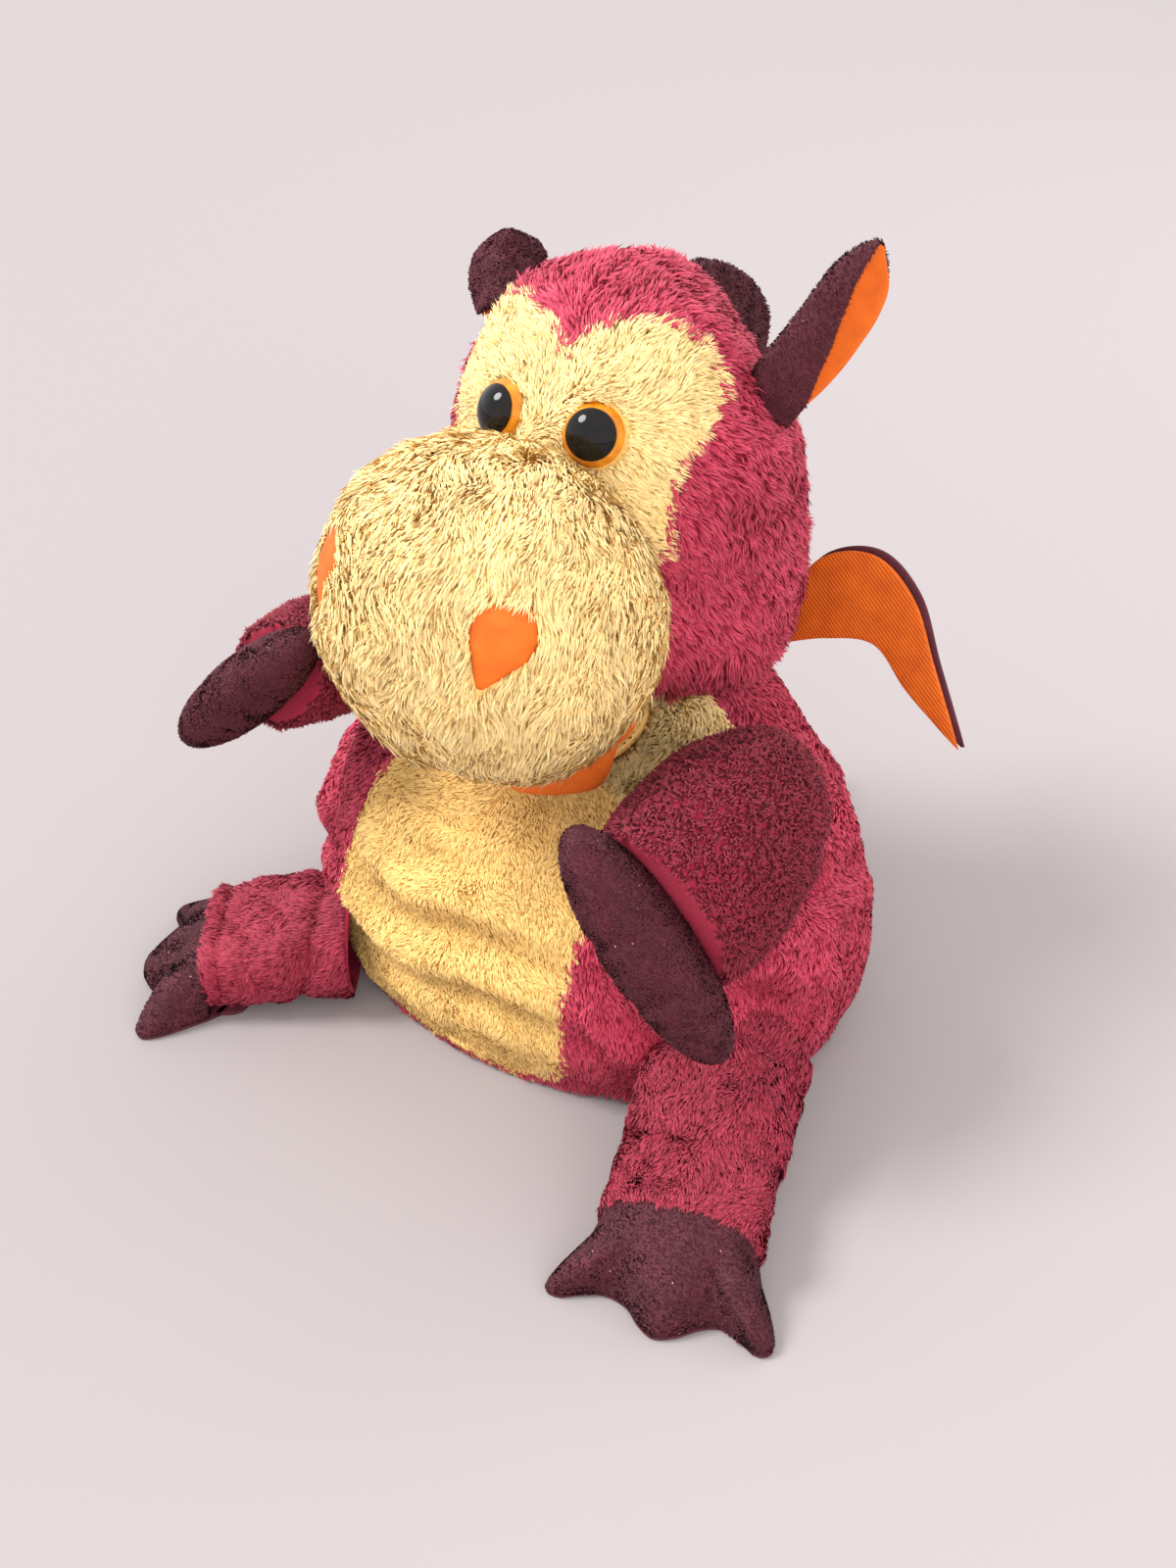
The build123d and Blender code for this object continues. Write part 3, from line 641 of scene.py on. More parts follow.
def mouth_axes(centre_y):
    # A point of the mouth plane, the direction into the mouth and the one across the plane
    slope = math.radians(MOUTH_SLOPE)
    inward, up = (0, math.cos(slope), math.sin(slope)), (0, -math.sin(slope), math.cos(slope))
    return np.array((0, centre_y, mouth_height(centre_y))), np.array(inward), np.array(up)


def above_mouth(points, margin):
    # The head's underside follows the mouth in front and the nape behind
    y, z = points[:, 1], points[:, 2]
    front = mouth_height(y)
    rear = NOD_Z + (y - NOD_Y) * math.tan(math.radians(NAPE_SLOPE))
    floor = np.where(y < NOD_Y, front, rear) + margin
    points = points.copy()
    points[:, 2] = np.maximum(z, floor)
    return points


def barrel_reach(points):
    # Distance from the axis of the drum that the head turns over
    return np.maximum(np.hypot(points[:, 1] - NOD_Y, points[:, 2] - NOD_Z), 1e-6)


def scale_reach(points, gain):
    # Points moved straight out from the drum's axis, or in towards it
    y, z = NOD_Y + (points[:, 1] - NOD_Y) * gain, NOD_Z + (points[:, 2] - NOD_Z) * gain
    return np.stack([points[:, 0], y, z], 1)


def off_barrel(points, margin=0.9):
    # Clear of the drum
    reach = barrel_reach(points)
    short = (reach < BARREL + margin) & (np.abs(points[:, 0]) < 75)
    return scale_reach(points, np.where(short, (BARREL + margin) / reach, 1.0))


def in_mask(points, margin=0.0):
    # Two lobes over the eyes with a notch between them
    x, y, z = points.T
    lobes = np.minimum(np.hypot(x - 20, z - 226), np.hypot(x + 20, z - 226)) < 24 + margin
    band = (np.abs(x) < 40 + margin) & (z > 185 - margin) & (z < 225 + margin)
    return (lobes | band) & (y < 10)


def in_muzzle(points, margin=0.0):
    return (((points - MUZZLE) / (MUZZLE_RADII + margin)) ** 2).sum(1) < 1


def flow_from(centre, drop=0.0, swirl_seed=None):
    # Pile that runs outward from a point, drawn down by its own weight
    centre = np.asarray(centre, float)

    def flow(points, normals):
        out = unit(points - centre) + np.array((0, 0, -drop))
        if swirl_seed is not None:
            out = out + swirl(points, 30.0, swirl_seed) * 0.5
        return out

    return flow


# --- Glove -------------------------------------------------------------------------

rings = 150
loops = 360
angles = np.linspace(0, 360, loops, endpoint=False)
shares = np.linspace(0, 1, rings)
torso_rings = np.stack([torso_point(angles, np.full(loops, t)) for t in shares])
glove = tube_skin(torso_rings)
glove.points = push(glove.points, glove.normals(), torso_folds(glove.points))


def throat_inside(points, margin=0.0):
    # Pale gores on both sides of the throat, above the shoulders
    x, y, z = points.T
    out = np.abs(x)
    band = (z > 97 - margin) & (y < 2 + margin) & (z > 90 + 0.35 * (out - 20) - margin)
    return band & (out > 14 - margin) & (out < 56 + margin)


# Full cheeks of cloth on both sides of the throat
x, y, z = glove.points.T
cheeks = 6.0 * swell(np.abs(x), 44, 16) * swell(y, -10, 18) * swell(z, 118, 12)
glove.points = push(glove.points, glove.normals(), cheeks)
throat_skin = part_of(glove, throat_inside(glove.points, 1.0) & ~belly_inside(glove.points, -2.0))
back_skin = part_of(glove, ~belly_inside(glove.points, -2.0) & ~throat_inside(glove.points, -1.0))
belly_skin = part_of(glove, belly_inside(glove.points, 1.5))

make("back_panel_plush", back_skin, RASPBERRY_GROUND, "torso", ("back_panel",), 2.5)
make("throat_gore_plush", throat_skin, YELLOW_GROUND, "torso", (), 2.5)
make("belly_panel_plush", belly_skin, BELLY_GROUND, "torso", ("belly_panel",), 2.5)


def glove_flow(points, normals):
    return np.array((0, 0, -1.0)) + 0.25 * normals * np.array((1, 1, 0)) + swirl(points, 40.0, 9) * 0.5


LEGS = {"left": ((97, -66), (118.8, -145.7)), "right": ((-77, -75), (-126, -107))}


def leg_contact(points):
    # Where a leg lies against the glove there is no room for pile
    near = np.zeros(len(points), bool)
    for root, tip in LEGS.values():
        root, tip = np.array(root, float), np.array(tip, float)
        along = unit(tip - root)
        rel = points[:, :2] - root
        s = rel @ along
        w = rel @ np.array((-along[1], along[0]))
        near |= (s > -12) & (np.abs(w) < 22) & (points[:, 2] < 26)
    return near


for seed, side in ((11, 1), (13, -1)):
    # The glove's back panel is two pieces joined at the spine
    half = part_of(back_skin, back_skin.points[:, 0] * side > -2)
    pile(f"back_panel_pile_{seed}", half, 62000, 3.4, 0.85, glove_flow, RASPBERRY_PILE, "torso", seed,
         lean=0.74, clump_size=2.4, **SMOOTH, keep=lambda p: ~leg_contact(p) & (p[:, 2] > 3))


def belly_flow(points, normals):
    out = 0.3 * np.sign(belly_frame(points)[0])
    return np.stack([out, np.zeros_like(out), -np.ones_like(out)], 1) + swirl(points, 25.0, 19) * 0.4


pile("belly_panel_pile", belly_skin, 56000, 2.8, 0.6, belly_flow, BELLY_PILE, "torso", 12,
     lean=0.76, clump=0.15, clump_size=2.0, keep=lambda p: (p[:, 2] > 2) & ~leg_contact(p), stray=0.14, grain=0.12)


pile("throat_gore_pile", throat_skin, 12000, 5.0, 0.9, glove_flow, YELLOW_PILE, "torso", 14,
     lean=0.45, clump=0.5, clump_size=2.8)


def lining_skin(low, high, inward):
    rows = np.linspace(low, high, 60)
    rings = np.stack([torso_point(angles[::2], np.full(len(angles[::2]), t), inward) for t in rows])
    skin = tube_skin(rings)
    skin.points = push(skin.points, skin.normals(), 0.35 * noise(skin.points * np.array((1, 1, 0.3)), 22.0, 31))
    return skin


make("glove_lining_cloth", lining_skin(0.09, 1.0, 5.0), LINING, "torso", ("glove_lining",), 0.8)
make("hem_band_cloth", lining_skin(0.0, 0.085, 5.0), LINING, "torso", ("hem_band",), 1.0)


def stitches(name, path, normals, length, pitch, radius, body):
    # Short thread bars along a seam
    path = np.asarray(path, float)
    run = np.concatenate([[0], np.cumsum(np.linalg.norm(np.diff(path, axis=0), axis=1))])
    spots = np.arange(pitch / 2, run[-1], pitch)
    place = np.stack([np.interp(spots, run, path[:, k]) for k in range(3)], 1)
    ahead = np.stack([np.interp(np.minimum(spots + length / 2, run[-1]), run, path[:, k]) for k in range(3)], 1)
    behind = np.stack([np.interp(np.maximum(spots - length / 2, 0), run, path[:, k]) for k in range(3)], 1)
    outward = unit(np.stack([np.interp(spots, run, normals[:, k]) for k in range(3)], 1))
    along = unit(ahead - behind)
    side = unit(np.cross(along, outward))
    shares = np.linspace(-1, 1, 7)
    turns = full_turn(8)
    points, faces = [], []
    for s in range(len(spots)):
        start = len(points)
        for t in shares:
            wide = radius * math.sqrt(max(1 - t * t, 0.02))
            for a in turns:
                points.append(place[s] + along[s] * t * length / 2 + side[s] * wide * math.cos(a)
                              + outward[s] * (wide * math.sin(a) + 0.5 * radius * (1 - t * t)))
        for i in range(6):
            for j in range(8):
                k = start + i * 8 + j
                m = start + i * 8 + (j + 1) % 8
                faces.append((k, m, m + 8, k + 8))
        faces.append(tuple(start + j for j in range(7, -1, -1)))
        faces.append(tuple(start + 48 + j for j in range(8)))
    make(name, Skin(points, faces), THREAD, body)


inner_ring = torso_point(angles, np.full(loops, 0.075), 6.4)
centre_line = inner_ring.mean(0)
closed_ring = np.vstack([inner_ring, inner_ring[:1]])
stitches("hem_stitching", closed_ring, centre_line - closed_ring, 3.0, 4.4, 0.35, "torso")


# --- Neck --------------------------------------------------------------------------

def neck_ring(share, inward):
    # Above the glove the neck follows the drum that the head turns over
    a = np.radians(angles[::3])
    tilt = math.radians(20.0)
    base = np.array((0.0, 17.0, 132.0)) + np.array((0, -math.sin(tilt), math.cos(tilt))) * (0.9 + 25 * share)
    x = (40.0 - inward) * np.cos(a)
    y = base[1] + (30.0 - inward) * np.sin(a) * math.cos(tilt)
    z = base[2] + (30.0 - inward) * np.sin(a) * math.sin(tilt)
    ring = np.stack([x + base[0], y, z], 1)
    limit = BARREL - inward - 0.3
    reach = barrel_reach(ring)
    return scale_reach(ring, np.where(reach > limit, limit / reach, 1.0))


neck_skin = tube_skin([neck_ring(t, 0.0) for t in np.linspace(0, 1, 24)])
neck_front_skin = part_of(neck_skin, neck_skin.points[:, 1] < 3)
neck_back_skin = part_of(neck_skin, neck_skin.points[:, 1] > -3)
make("neck_front_plush", neck_front_skin, YELLOW_GROUND, "neck", ("neck_front",), 2.5)
make("neck_back_plush", neck_back_skin, RASPBERRY_GROUND, "neck", ("neck_back",), 2.5)
make("neck_lining_cloth", tube_skin([neck_ring(t, 4.4) for t in np.linspace(0, 1, 20)]), LINING, "neck",
     ("neck_lining",), 0.8)


# --- Head --------------------------------------------------------------------------

sphere = ball_skin(6)


def head_form(centre, radii, margin, dent=None):
    points = sphere.points * radii + centre
    normal = unit(sphere.points / radii)
    if dent is not None:
        points = push(points, normal, dent(points))
    return Skin(off_barrel(above_mouth(points, margin)), sphere.faces)


def skull_dents(points):
    # Brows and cheeks fuller than the temples, a shallow dip between the eyes, soft uneven stuffing
    x, y, z = points.T
    bridge = -3.0 * swell(x, 0, 7) * swell(z, 236, 16) * (y < 0)
    temple = np.exp(-((np.abs(x) - 42) ** 2 + (y - 55) ** 2 + (z - 234) ** 2) / 32**2)
    brow = np.exp(-((np.abs(x) - 27) ** 2 + (y - 12) ** 2 + (z - 246) ** 2) / 17**2)
    return bridge + 4.0 * brow - 12.0 * temple + 1.1 * noise(points, 46.0, 51)


def muzzle_dents(points):
    # Two cheeks with a crease down the middle of the nose, and a sunk seat for each nostril
    x, y, z = points.T
    crease = -2.2 * swell(x, 0, 6) * step(-z, -205, -150) * (y < -70)
    seat = -1.5 * (swell(x, 33, 11) + swell(x, -44, 11)) * swell(z, 186, 15) * (y < -65)
    return crease + seat + 0.9 * noise(points, 38.0, 61)


skull = head_form(SKULL, SKULL_RADII, 1.2, skull_dents)
make("skull_stuffed_cover", part_of(skull, ~in_mask(skull.points, -2.0)), RASPBERRY_GROUND, "head",
     ("skull_cover", "head_wadding"), 2.5)
mask_skin = part_of(skull, in_mask(skull.points, 1.0))
make("face_mask_plush", mask_skin, YELLOW_GROUND, "head", ("face_mask",), 2.5)
muzzle = head_form(MUZZLE, MUZZLE_RADII, 1.2, muzzle_dents)
make("muzzle_stuffed_cover", muzzle, YELLOW_GROUND, "head", ("muzzle_cover", "muzzle_wadding"))

EYES = []
for _, name in SIDES:
    low, high = (np.array(p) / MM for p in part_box(f"{name}_eye_pupil"))
    EYES.append((low + high) / 2)


def near_eye(points, reach):
    return np.minimum(*(np.linalg.norm(points - spot, axis=1) for spot in EYES)) < reach


def in_leaf(u, v, margin=0.0):
    # A disc with a tapered point below it
    disc = np.hypot(u, v - 4) < 10.5 + margin
    wedge = (v < 2) & (v > -17 - margin) & (np.abs(u) < (v + 17 + margin) * 0.56 + margin)
    return disc | wedge


def on_nostril(points, margin=0.0):
    # Inside the two leaf outlines on the muzzle
    inside = np.zeros(len(points), bool)
    for side in NOSTRILS:
        u, v, depth = nostril_place(points, side)
        inside |= in_leaf(u, v, margin) & (depth > 0)
    return inside


# The right patch is sewn a little further round the muzzle than the left one
NOSTRILS = {1: (30.0, (16.0, -69.0, 186.0)), -1: (-46.0, (-22.0, -69.0, 188.0))}


def nostril_axes(side):
    angle = NOSTRILS[side][0]
    out = heading(angle)
    across = np.array((math.cos(math.radians(angle)), math.sin(math.radians(angle)), 0.0))
    up = np.cross(out, across)
    lean = math.radians(-side * 24.0)
    return across * math.cos(lean) + up * math.sin(lean), up * math.cos(lean) - across * math.sin(lean), out


def nostril_place(points, side):
    across, up, out = nostril_axes(side)
    rel = points - np.array(NOSTRILS[side][1])
    return rel @ across, rel @ up, rel @ out


def skull_keep(points):
    buried = in_muzzle(points, -1.0) | (points[:, 2] < 128)
    barrel = barrel_reach(points) < BARREL + 2.5
    return ~in_mask(points, -1.0) & ~buried & ~near_eye(points, 12) & ~barrel


def muzzle_keep(points):
    outside = (((points - SKULL) / (SKULL_RADII - 2)) ** 2).sum(1) > 1
    above = points[:, 2] > mouth_height(points[:, 1]) + 2.5
    return outside & above & ~on_nostril(points, -0.5) & ~near_eye(points, 10.5)


def skull_flow(points, normals):
    # Back over the crown, down the cheeks
    x, y, z = points.T
    crown = step(z, 205, 245)[:, None]
    back = np.stack([np.sign(x) * 0.35, np.ones(len(x)), -0.2 * np.ones(len(x))], 1)
    down = np.stack([np.sign(x) * 0.3, 0.25 * np.ones(len(x)), -np.ones(len(x))], 1)
    return back * crown + down * (1 - crown) + swirl(points, 30.0, 71) * 0.5


pile("skull_pile", skull, 64000, 5.2, 0.95, skull_flow, RASPBERRY_PILE, "head", 21,
     lean=0.64, clump=0.42, clump_size=3.4, grain=0.2, keep=skull_keep)
pile("face_mask_pile", mask_skin, 26000, 4.4, 0.8, flow_from(BRIDGE, 0.1, 81), YELLOW_PILE, "head", 22,
     lean=0.68, clump=0.4, clump_size=2.8, grain=0.2,
     keep=lambda p: ~near_eye(p, 11.0) & ~in_muzzle(p, -2.0))
pile("muzzle_pile", muzzle, 66000, 5.6, 0.9, flow_from((0.0, 14.0, 250.0), 0.35, 91), YELLOW_PILE, "head",
     23, lean=0.76, clump=0.34, clump_size=3.2, stray=0.22, grain=0.2, keep=muzzle_keep)


# The head cover hangs past the stuffing as a hood over the neck
# Its rows from top to edge: height, half width, half depth and middle
HOOD = [(188, 58.6, 56.6, 26), (172, 59.0, 56.0, 26), (156, 60.0, 54.0, 25), (143, 60.5, 50.0, 23),
        (134, 58.0, 44.0, 21), (129.5, 51.0, 37.0, 19), (129, 45.0, 32.0, 18)]
hood_rows = curve_points(HOOD, np.linspace(0, 1, 50))
sweep = np.radians(np.linspace(-62, 242, 200))
hood_grid = np.stack([np.stack([a * np.cos(sweep), cy + b * np.sin(sweep), np.full(len(sweep), z)], 1)
                      for z, a, b, cy in hood_rows])
hood_y, hood_z = hood_grid[..., 1], hood_grid[..., 2]
hood_z += 9.0 * np.clip((hood_y - 30) / 40, 0, 1) * step(-hood_z, -170, -140)
hood_floor = (mouth_height(hood_y) + 2.5) * step(-hood_y, -5, 12)
hood_z[:] = np.where(hood_y < 5, np.maximum(hood_z, hood_floor), hood_z)
index = np.arange(hood_z.size).reshape(hood_z.shape)
corners = np.stack([index[:-1, :-1], index[1:, :-1], index[1:, 1:], index[:-1, 1:]], -1)
hood = Skin(hood_grid.reshape(-1, 3), corners.reshape(-1, 4).tolist())
hood.points = push(hood.points, hood.normals(), 1.3 * noise(hood.points * (1, 1, 0.5), 26.0, 57))
hood_cover = make("nape_hood_plush", hood, RASPBERRY_GROUND, None, (), 2.0)
hood_pile = pile("nape_hood_pile", hood, 36000, 5.2, 0.95, skull_flow, RASPBERRY_PILE, None, 28,
                 lean=0.6, clump=0.5, clump_size=3.2, keep=lambda p: p[:, 2] > 131)
for piece in (hood_cover, hood_pile):
    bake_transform(piece)


def leaf_patch(side):
    # A tricot leaf laid over its seat, slightly puffed
    across, up, out = nostril_axes(side)
    rings, outline = [], []
    for t in full_turn(72):
        reach = 1.0
        while in_leaf(math.sin(t) * reach, math.cos(t) * reach - 1):
            reach += 0.1
        outline.append((math.sin(t) * reach, math.cos(t) * reach - 1))
    outline = np.array(outline)
    outline = (outline + np.roll(outline, 1, 0) + np.roll(outline, -1, 0)) / 3
    for rho in np.linspace(0.04, 1.0, 16):
        flat = (outline - (0, -1)) * rho + (0, -1)
        base = np.array(NOSTRILS[side][1]) + flat[:, :1] * across + flat[:, 1:] * up
        # Cast each point out to the muzzle's surface
        rel = (base - MUZZLE) / MUZZLE_RADII
        ray = out / MUZZLE_RADII
        b = rel @ ray
        c = (rel**2).sum(1) - 1
        a = ray @ ray
        t = (-b + np.sqrt(np.maximum(b * b - a * c, 0))) / a
        lift = 0.2 + 1.5 * math.sqrt(max(1 - rho**3, 0))
        rings.append(base + out * (t + lift - 0.9)[:, None])
    under = rings[-1] - out * 1.2
    return tube_skin(rings + [under], closed_ends=True)


for side, name in SIDES:
    make(f"{name}_nostril_tricot", leaf_patch(side), TRICOT, "head", (f"{name}_nostril_patch",))


def mouth_sheet(low, high, radii, centre_y, sag):
    # A flat layer on the mouth plane with a soft rim
    middle, ahead, up = mouth_axes(centre_y)
    turns = full_turn(96)
    rows = []
    profile = [(r, high) for r in np.linspace(0.05, 0.98, 12)] + [(1.0, (low + high) / 2)]
    profile += [(r, low) for r in np.linspace(0.98, 0.05, 12)]
    for rho, height in profile:
        ring = middle + radii[0] * rho * np.cos(turns)[:, None] * (1, 0, 0)
        ring = ring + radii[1] * rho * np.sin(turns)[:, None] * ahead
        wave = sag * noise(ring, 16.0, 33) * 0.1
        rows.append(ring + up * (height + wave)[:, None])
    skin = tube_skin(rows, closed_ends=True)
    skin.points = off_barrel(skin.points)
    return skin


make("palate_tricot", mouth_sheet(0.4, 1.5, (31, 25), -49, 1), TRICOT, "head", ("palate_lining",))
make("palate_board_sheet", mouth_sheet(1.8, 3.2, (29, 23), -49, 0), BOARD, "head", ("palate_board",))


def pocket_skin(half, centre, corner):
    # Cloth bag with full, rounded corners, open at the neck
    points = sphere_small.points
    power = np.abs(points) ** 3.6
    points = points / (power.sum(1, keepdims=True) ** (1 / 3.6)) * half + centre
    points = push(points, unit(points - centre), 0.5 * noise(points, corner, 35) - 0.8)
    return Skin(points, sphere_small.faces)


sphere_small = ball_skin(5)
pocket = pocket_skin(np.array((37.0, 48.0, 21.0)), np.array((0.0, -32.0, 162.0)), 18.0)
pocket.points = off_barrel(above_mouth(pocket.points, 4.2), 1.2)
open_end = (pocket.points[:, 1] < 8) | (pocket.points[:, 2] > 176)
make("finger_pocket_cloth", part_of(pocket, open_end), LINING, "head", ("finger_pocket",), 0.8)


# --- Lower jaw ----------------------------------------------------------------------

def tilt_x(points, angle, centre):
    return turn(points, (1, 0, 0), angle, centre)


def below_mouth(points, margin):
    points = points.copy()
    points[:, 2] = np.minimum(points[:, 2], mouth_height(points[:, 1]) - margin)
    return points


JAW = np.array((0.0, -34.0, 130.0))
jaw_points = tilt_x(sphere_small.points * (42.0, 32.0, 15.0) + JAW, MOUTH_SLOPE, JAW)
jaw_points = push(jaw_points, sphere_small.normals(), 0.5 * noise(jaw_points, 24.0, 41) - 0.3)
jaw = Skin(off_barrel(below_mouth(jaw_points, 4.0)), sphere_small.faces)
make("jaw_stuffed_cover", jaw, YELLOW_GROUND, "jaw", ("jaw_cover", "jaw_wadding"))


def jaw_keep(points):
    front = mouth_height(points[:, 1])
    clear = (((points - (0, 10, 110)) / (63, 50, 30)) ** 2).sum(1) > 1
    below = points[:, 2] < front - np.where(points[:, 1] < -40, 15.5, 4.5)
    return below & clear & (barrel_reach(points) > 33)


pile("jaw_pile", jaw, 11000, 5.5, 1.0, flow_from((0, -20, 150), 0.3, 43), YELLOW_PILE, "jaw", 24,
     lean=0.6, clump=0.5, clump_size=2.8, keep=jaw_keep)
thumb_points = tilt_x(sphere_small.points * (22.6, 23.6, 5.9) + (0, -28, 124.5), 8.0, np.array((0, -28, 124.5)))
make("thumb_pocket_cloth", Skin(off_barrel(below_mouth(thumb_points, 4.6), 1.2), sphere_small.faces), LINING, "jaw",
     ("thumb_pocket",))


def lip_skin():
    # The tricot mouth floor, whose rim turns down over the front of the jaw, most on its left
    middle, ahead, up = mouth_axes(-36.0)
    turns = full_turn(120)
    outline = [(r, -0.5, 0.0) for r in np.linspace(0.05, 0.95, 12)]
    outline += [(1.0, -0.9, 0.6), (1.0, -2.4, 3.0), (1.0, -5.0, 4.6), (1.0, -9.0, 5.0), (1.0, -12.5, 4.0)]
    outline += [(1.0, -15.0, 1.4)]
    outline += [(1.0, -14.0, -0.2), (1.0, -10.0, 2.2), (1.0, -5.5, 2.4), (1.0, -2.8, 0.6), (0.93, -1.6, 0.0)]
    outline += [(r, -1.5, 0.0) for r in np.linspace(0.9, 0.05, 10)]
    rows = []
    front = step(0.60 * np.cos(turns) - 0.80 * np.sin(turns), 0.74, 0.97)
    for rho, height, out in outline:
        grow = out * front
        drop = np.where(height < -1.5, -1.5 + (height + 1.5) * front, height)
        ring = middle + ((39.5 * rho + grow) * np.cos(turns))[:, None] * (1, 0, 0)
        ring = ring + ((27.5 * rho + grow) * np.sin(turns))[:, None] * ahead
        rows.append(ring + up * drop[:, None])
    skin = tube_skin(rows, closed_ends=True)
    skin.points = off_barrel(skin.points)
    return skin


make("jaw_lining_tricot", lip_skin(), TRICOT, "jaw", ("jaw_lining",))
make("jaw_board_sheet", mouth_sheet(-3.6, -1.8, (37, 25), -36, 0), BOARD, "jaw", ("jaw_board",))


# --- Ears, wings and crest: flat sewn pieces ------------------------------------------

# The left ear is pinched into a cup whose near wall shows the velour outside and whose far wall the tricot inside
EARS = {
    "left": {"base": (52, 28, 220), "aim": (0.44, 0.118, 0.88), "open": (0.90, 0.38, -0.20), "length": 63.0,
             "widths": [9.5, 11.5, 11.2, 10.2, 9.2, 7.2, 1.0], "near": [1.6, 1.5, 1.3, 1.15, 0.95, 0.8, 0.7],
             "far": [1.75, 1.8, 1.9, 2.0, 2.1, 2.1, 2.0], "deep": 0.55},
    "right": {"base": (-58, 38, 224), "aim": (-0.42, 0.70, 0.34), "open": (-0.41, 0.845, -0.34), "length": 34.0,
              "widths": [9.0, 11.0, 12.5, 13.5, 13.5, 12.5, 9.5], "near": [0.6] * 7, "far": [0.6] * 7, "deep": 0.95},
}
for name, ear in EARS.items():
    aim = unit(ear["aim"])
    opening = unit(np.array(ear["open"]) - aim * (np.array(ear["open"]) @ aim))
    deep = np.cross(aim, opening)
    u = np.linspace(0, 1, 48)
    width = curve_points([(w, 0, 0) for w in ear["widths"]], u)[:, 0]
    v = np.linspace(-1, 1, 30)
    near, far = (curve_points([(w, 0, 0) for w in ear[key]], u)[:, :1] for key in ("near", "far"))
    reach = np.abs(v) ** 1.35 * np.where(v < 0, near, far)
    line = np.array(ear["base"]) + aim * (ear["length"] * u)[:, None] + opening * (2.0 * np.sin(u * 3.0))[:, None]
    grid = line[:, None] + opening * (width[:, None] * (reach - 1))[..., None]
    grid = grid + deep * (width[:, None] * v * ear["deep"])[..., None]
    body = f"{name}_ear"
    make(f"{body}_velour", grid_slab(grid, -1.1, 2.0), VELOUR, body, (f"{body}_face",))
    make(f"{body}_tricot", grid_slab(grid, 0.95, 1.7), TRICOT, body, (f"{body}_back",))

for side, name in SIDES:
    upper = [(44, 133), (57, 155), (77, 161.5), (93, 149), (103, 126), (115.6, 96.5)]
    lower = [(44, 117), (62, 124.5), (80, 127.5), (93, 114), (104, 105), (115.6, 96.0)]
    for layer, depth, rim, material in (("face", 60.7, 0.0, RIBBED), ("back", 63.0, 1.4, VELOUR)):
        first = [(side * (x + rim * (x > 50)), depth, z + rim * (x < 100)) for x, z in upper]
        second = [(side * x, depth, z) for x, z in lower]
        make(f"{name}_wing_{layer}_cloth", slab_skin(first, second, 2.0, 56, 22), material, f"{name}_wing",
             (f"{name}_wing_{layer}",))

crest_out = [(50, 243), (68, 247), (88, 240), (105, 230), (117, 218), (120, 204), (106, 182), (80, 168)]
crest_in = [(52, 243.5), (66, 238), (76.5, 222), (80.5, 200), (80.5, 184), (78, 170)]
crest = slab_skin([(0, y, z) for y, z in crest_out], [(0, y - 1.5, z) for y, z in crest_in], 5.0, 60, 24)
crest.points = push(crest.points, crest.normals(), 0.35 * noise(crest.points, 9.0, 47))
make("head_crest_velour", crest, VELOUR, "head", ("head_crest",))


# --- Arms ---------------------------------------------------------------------------

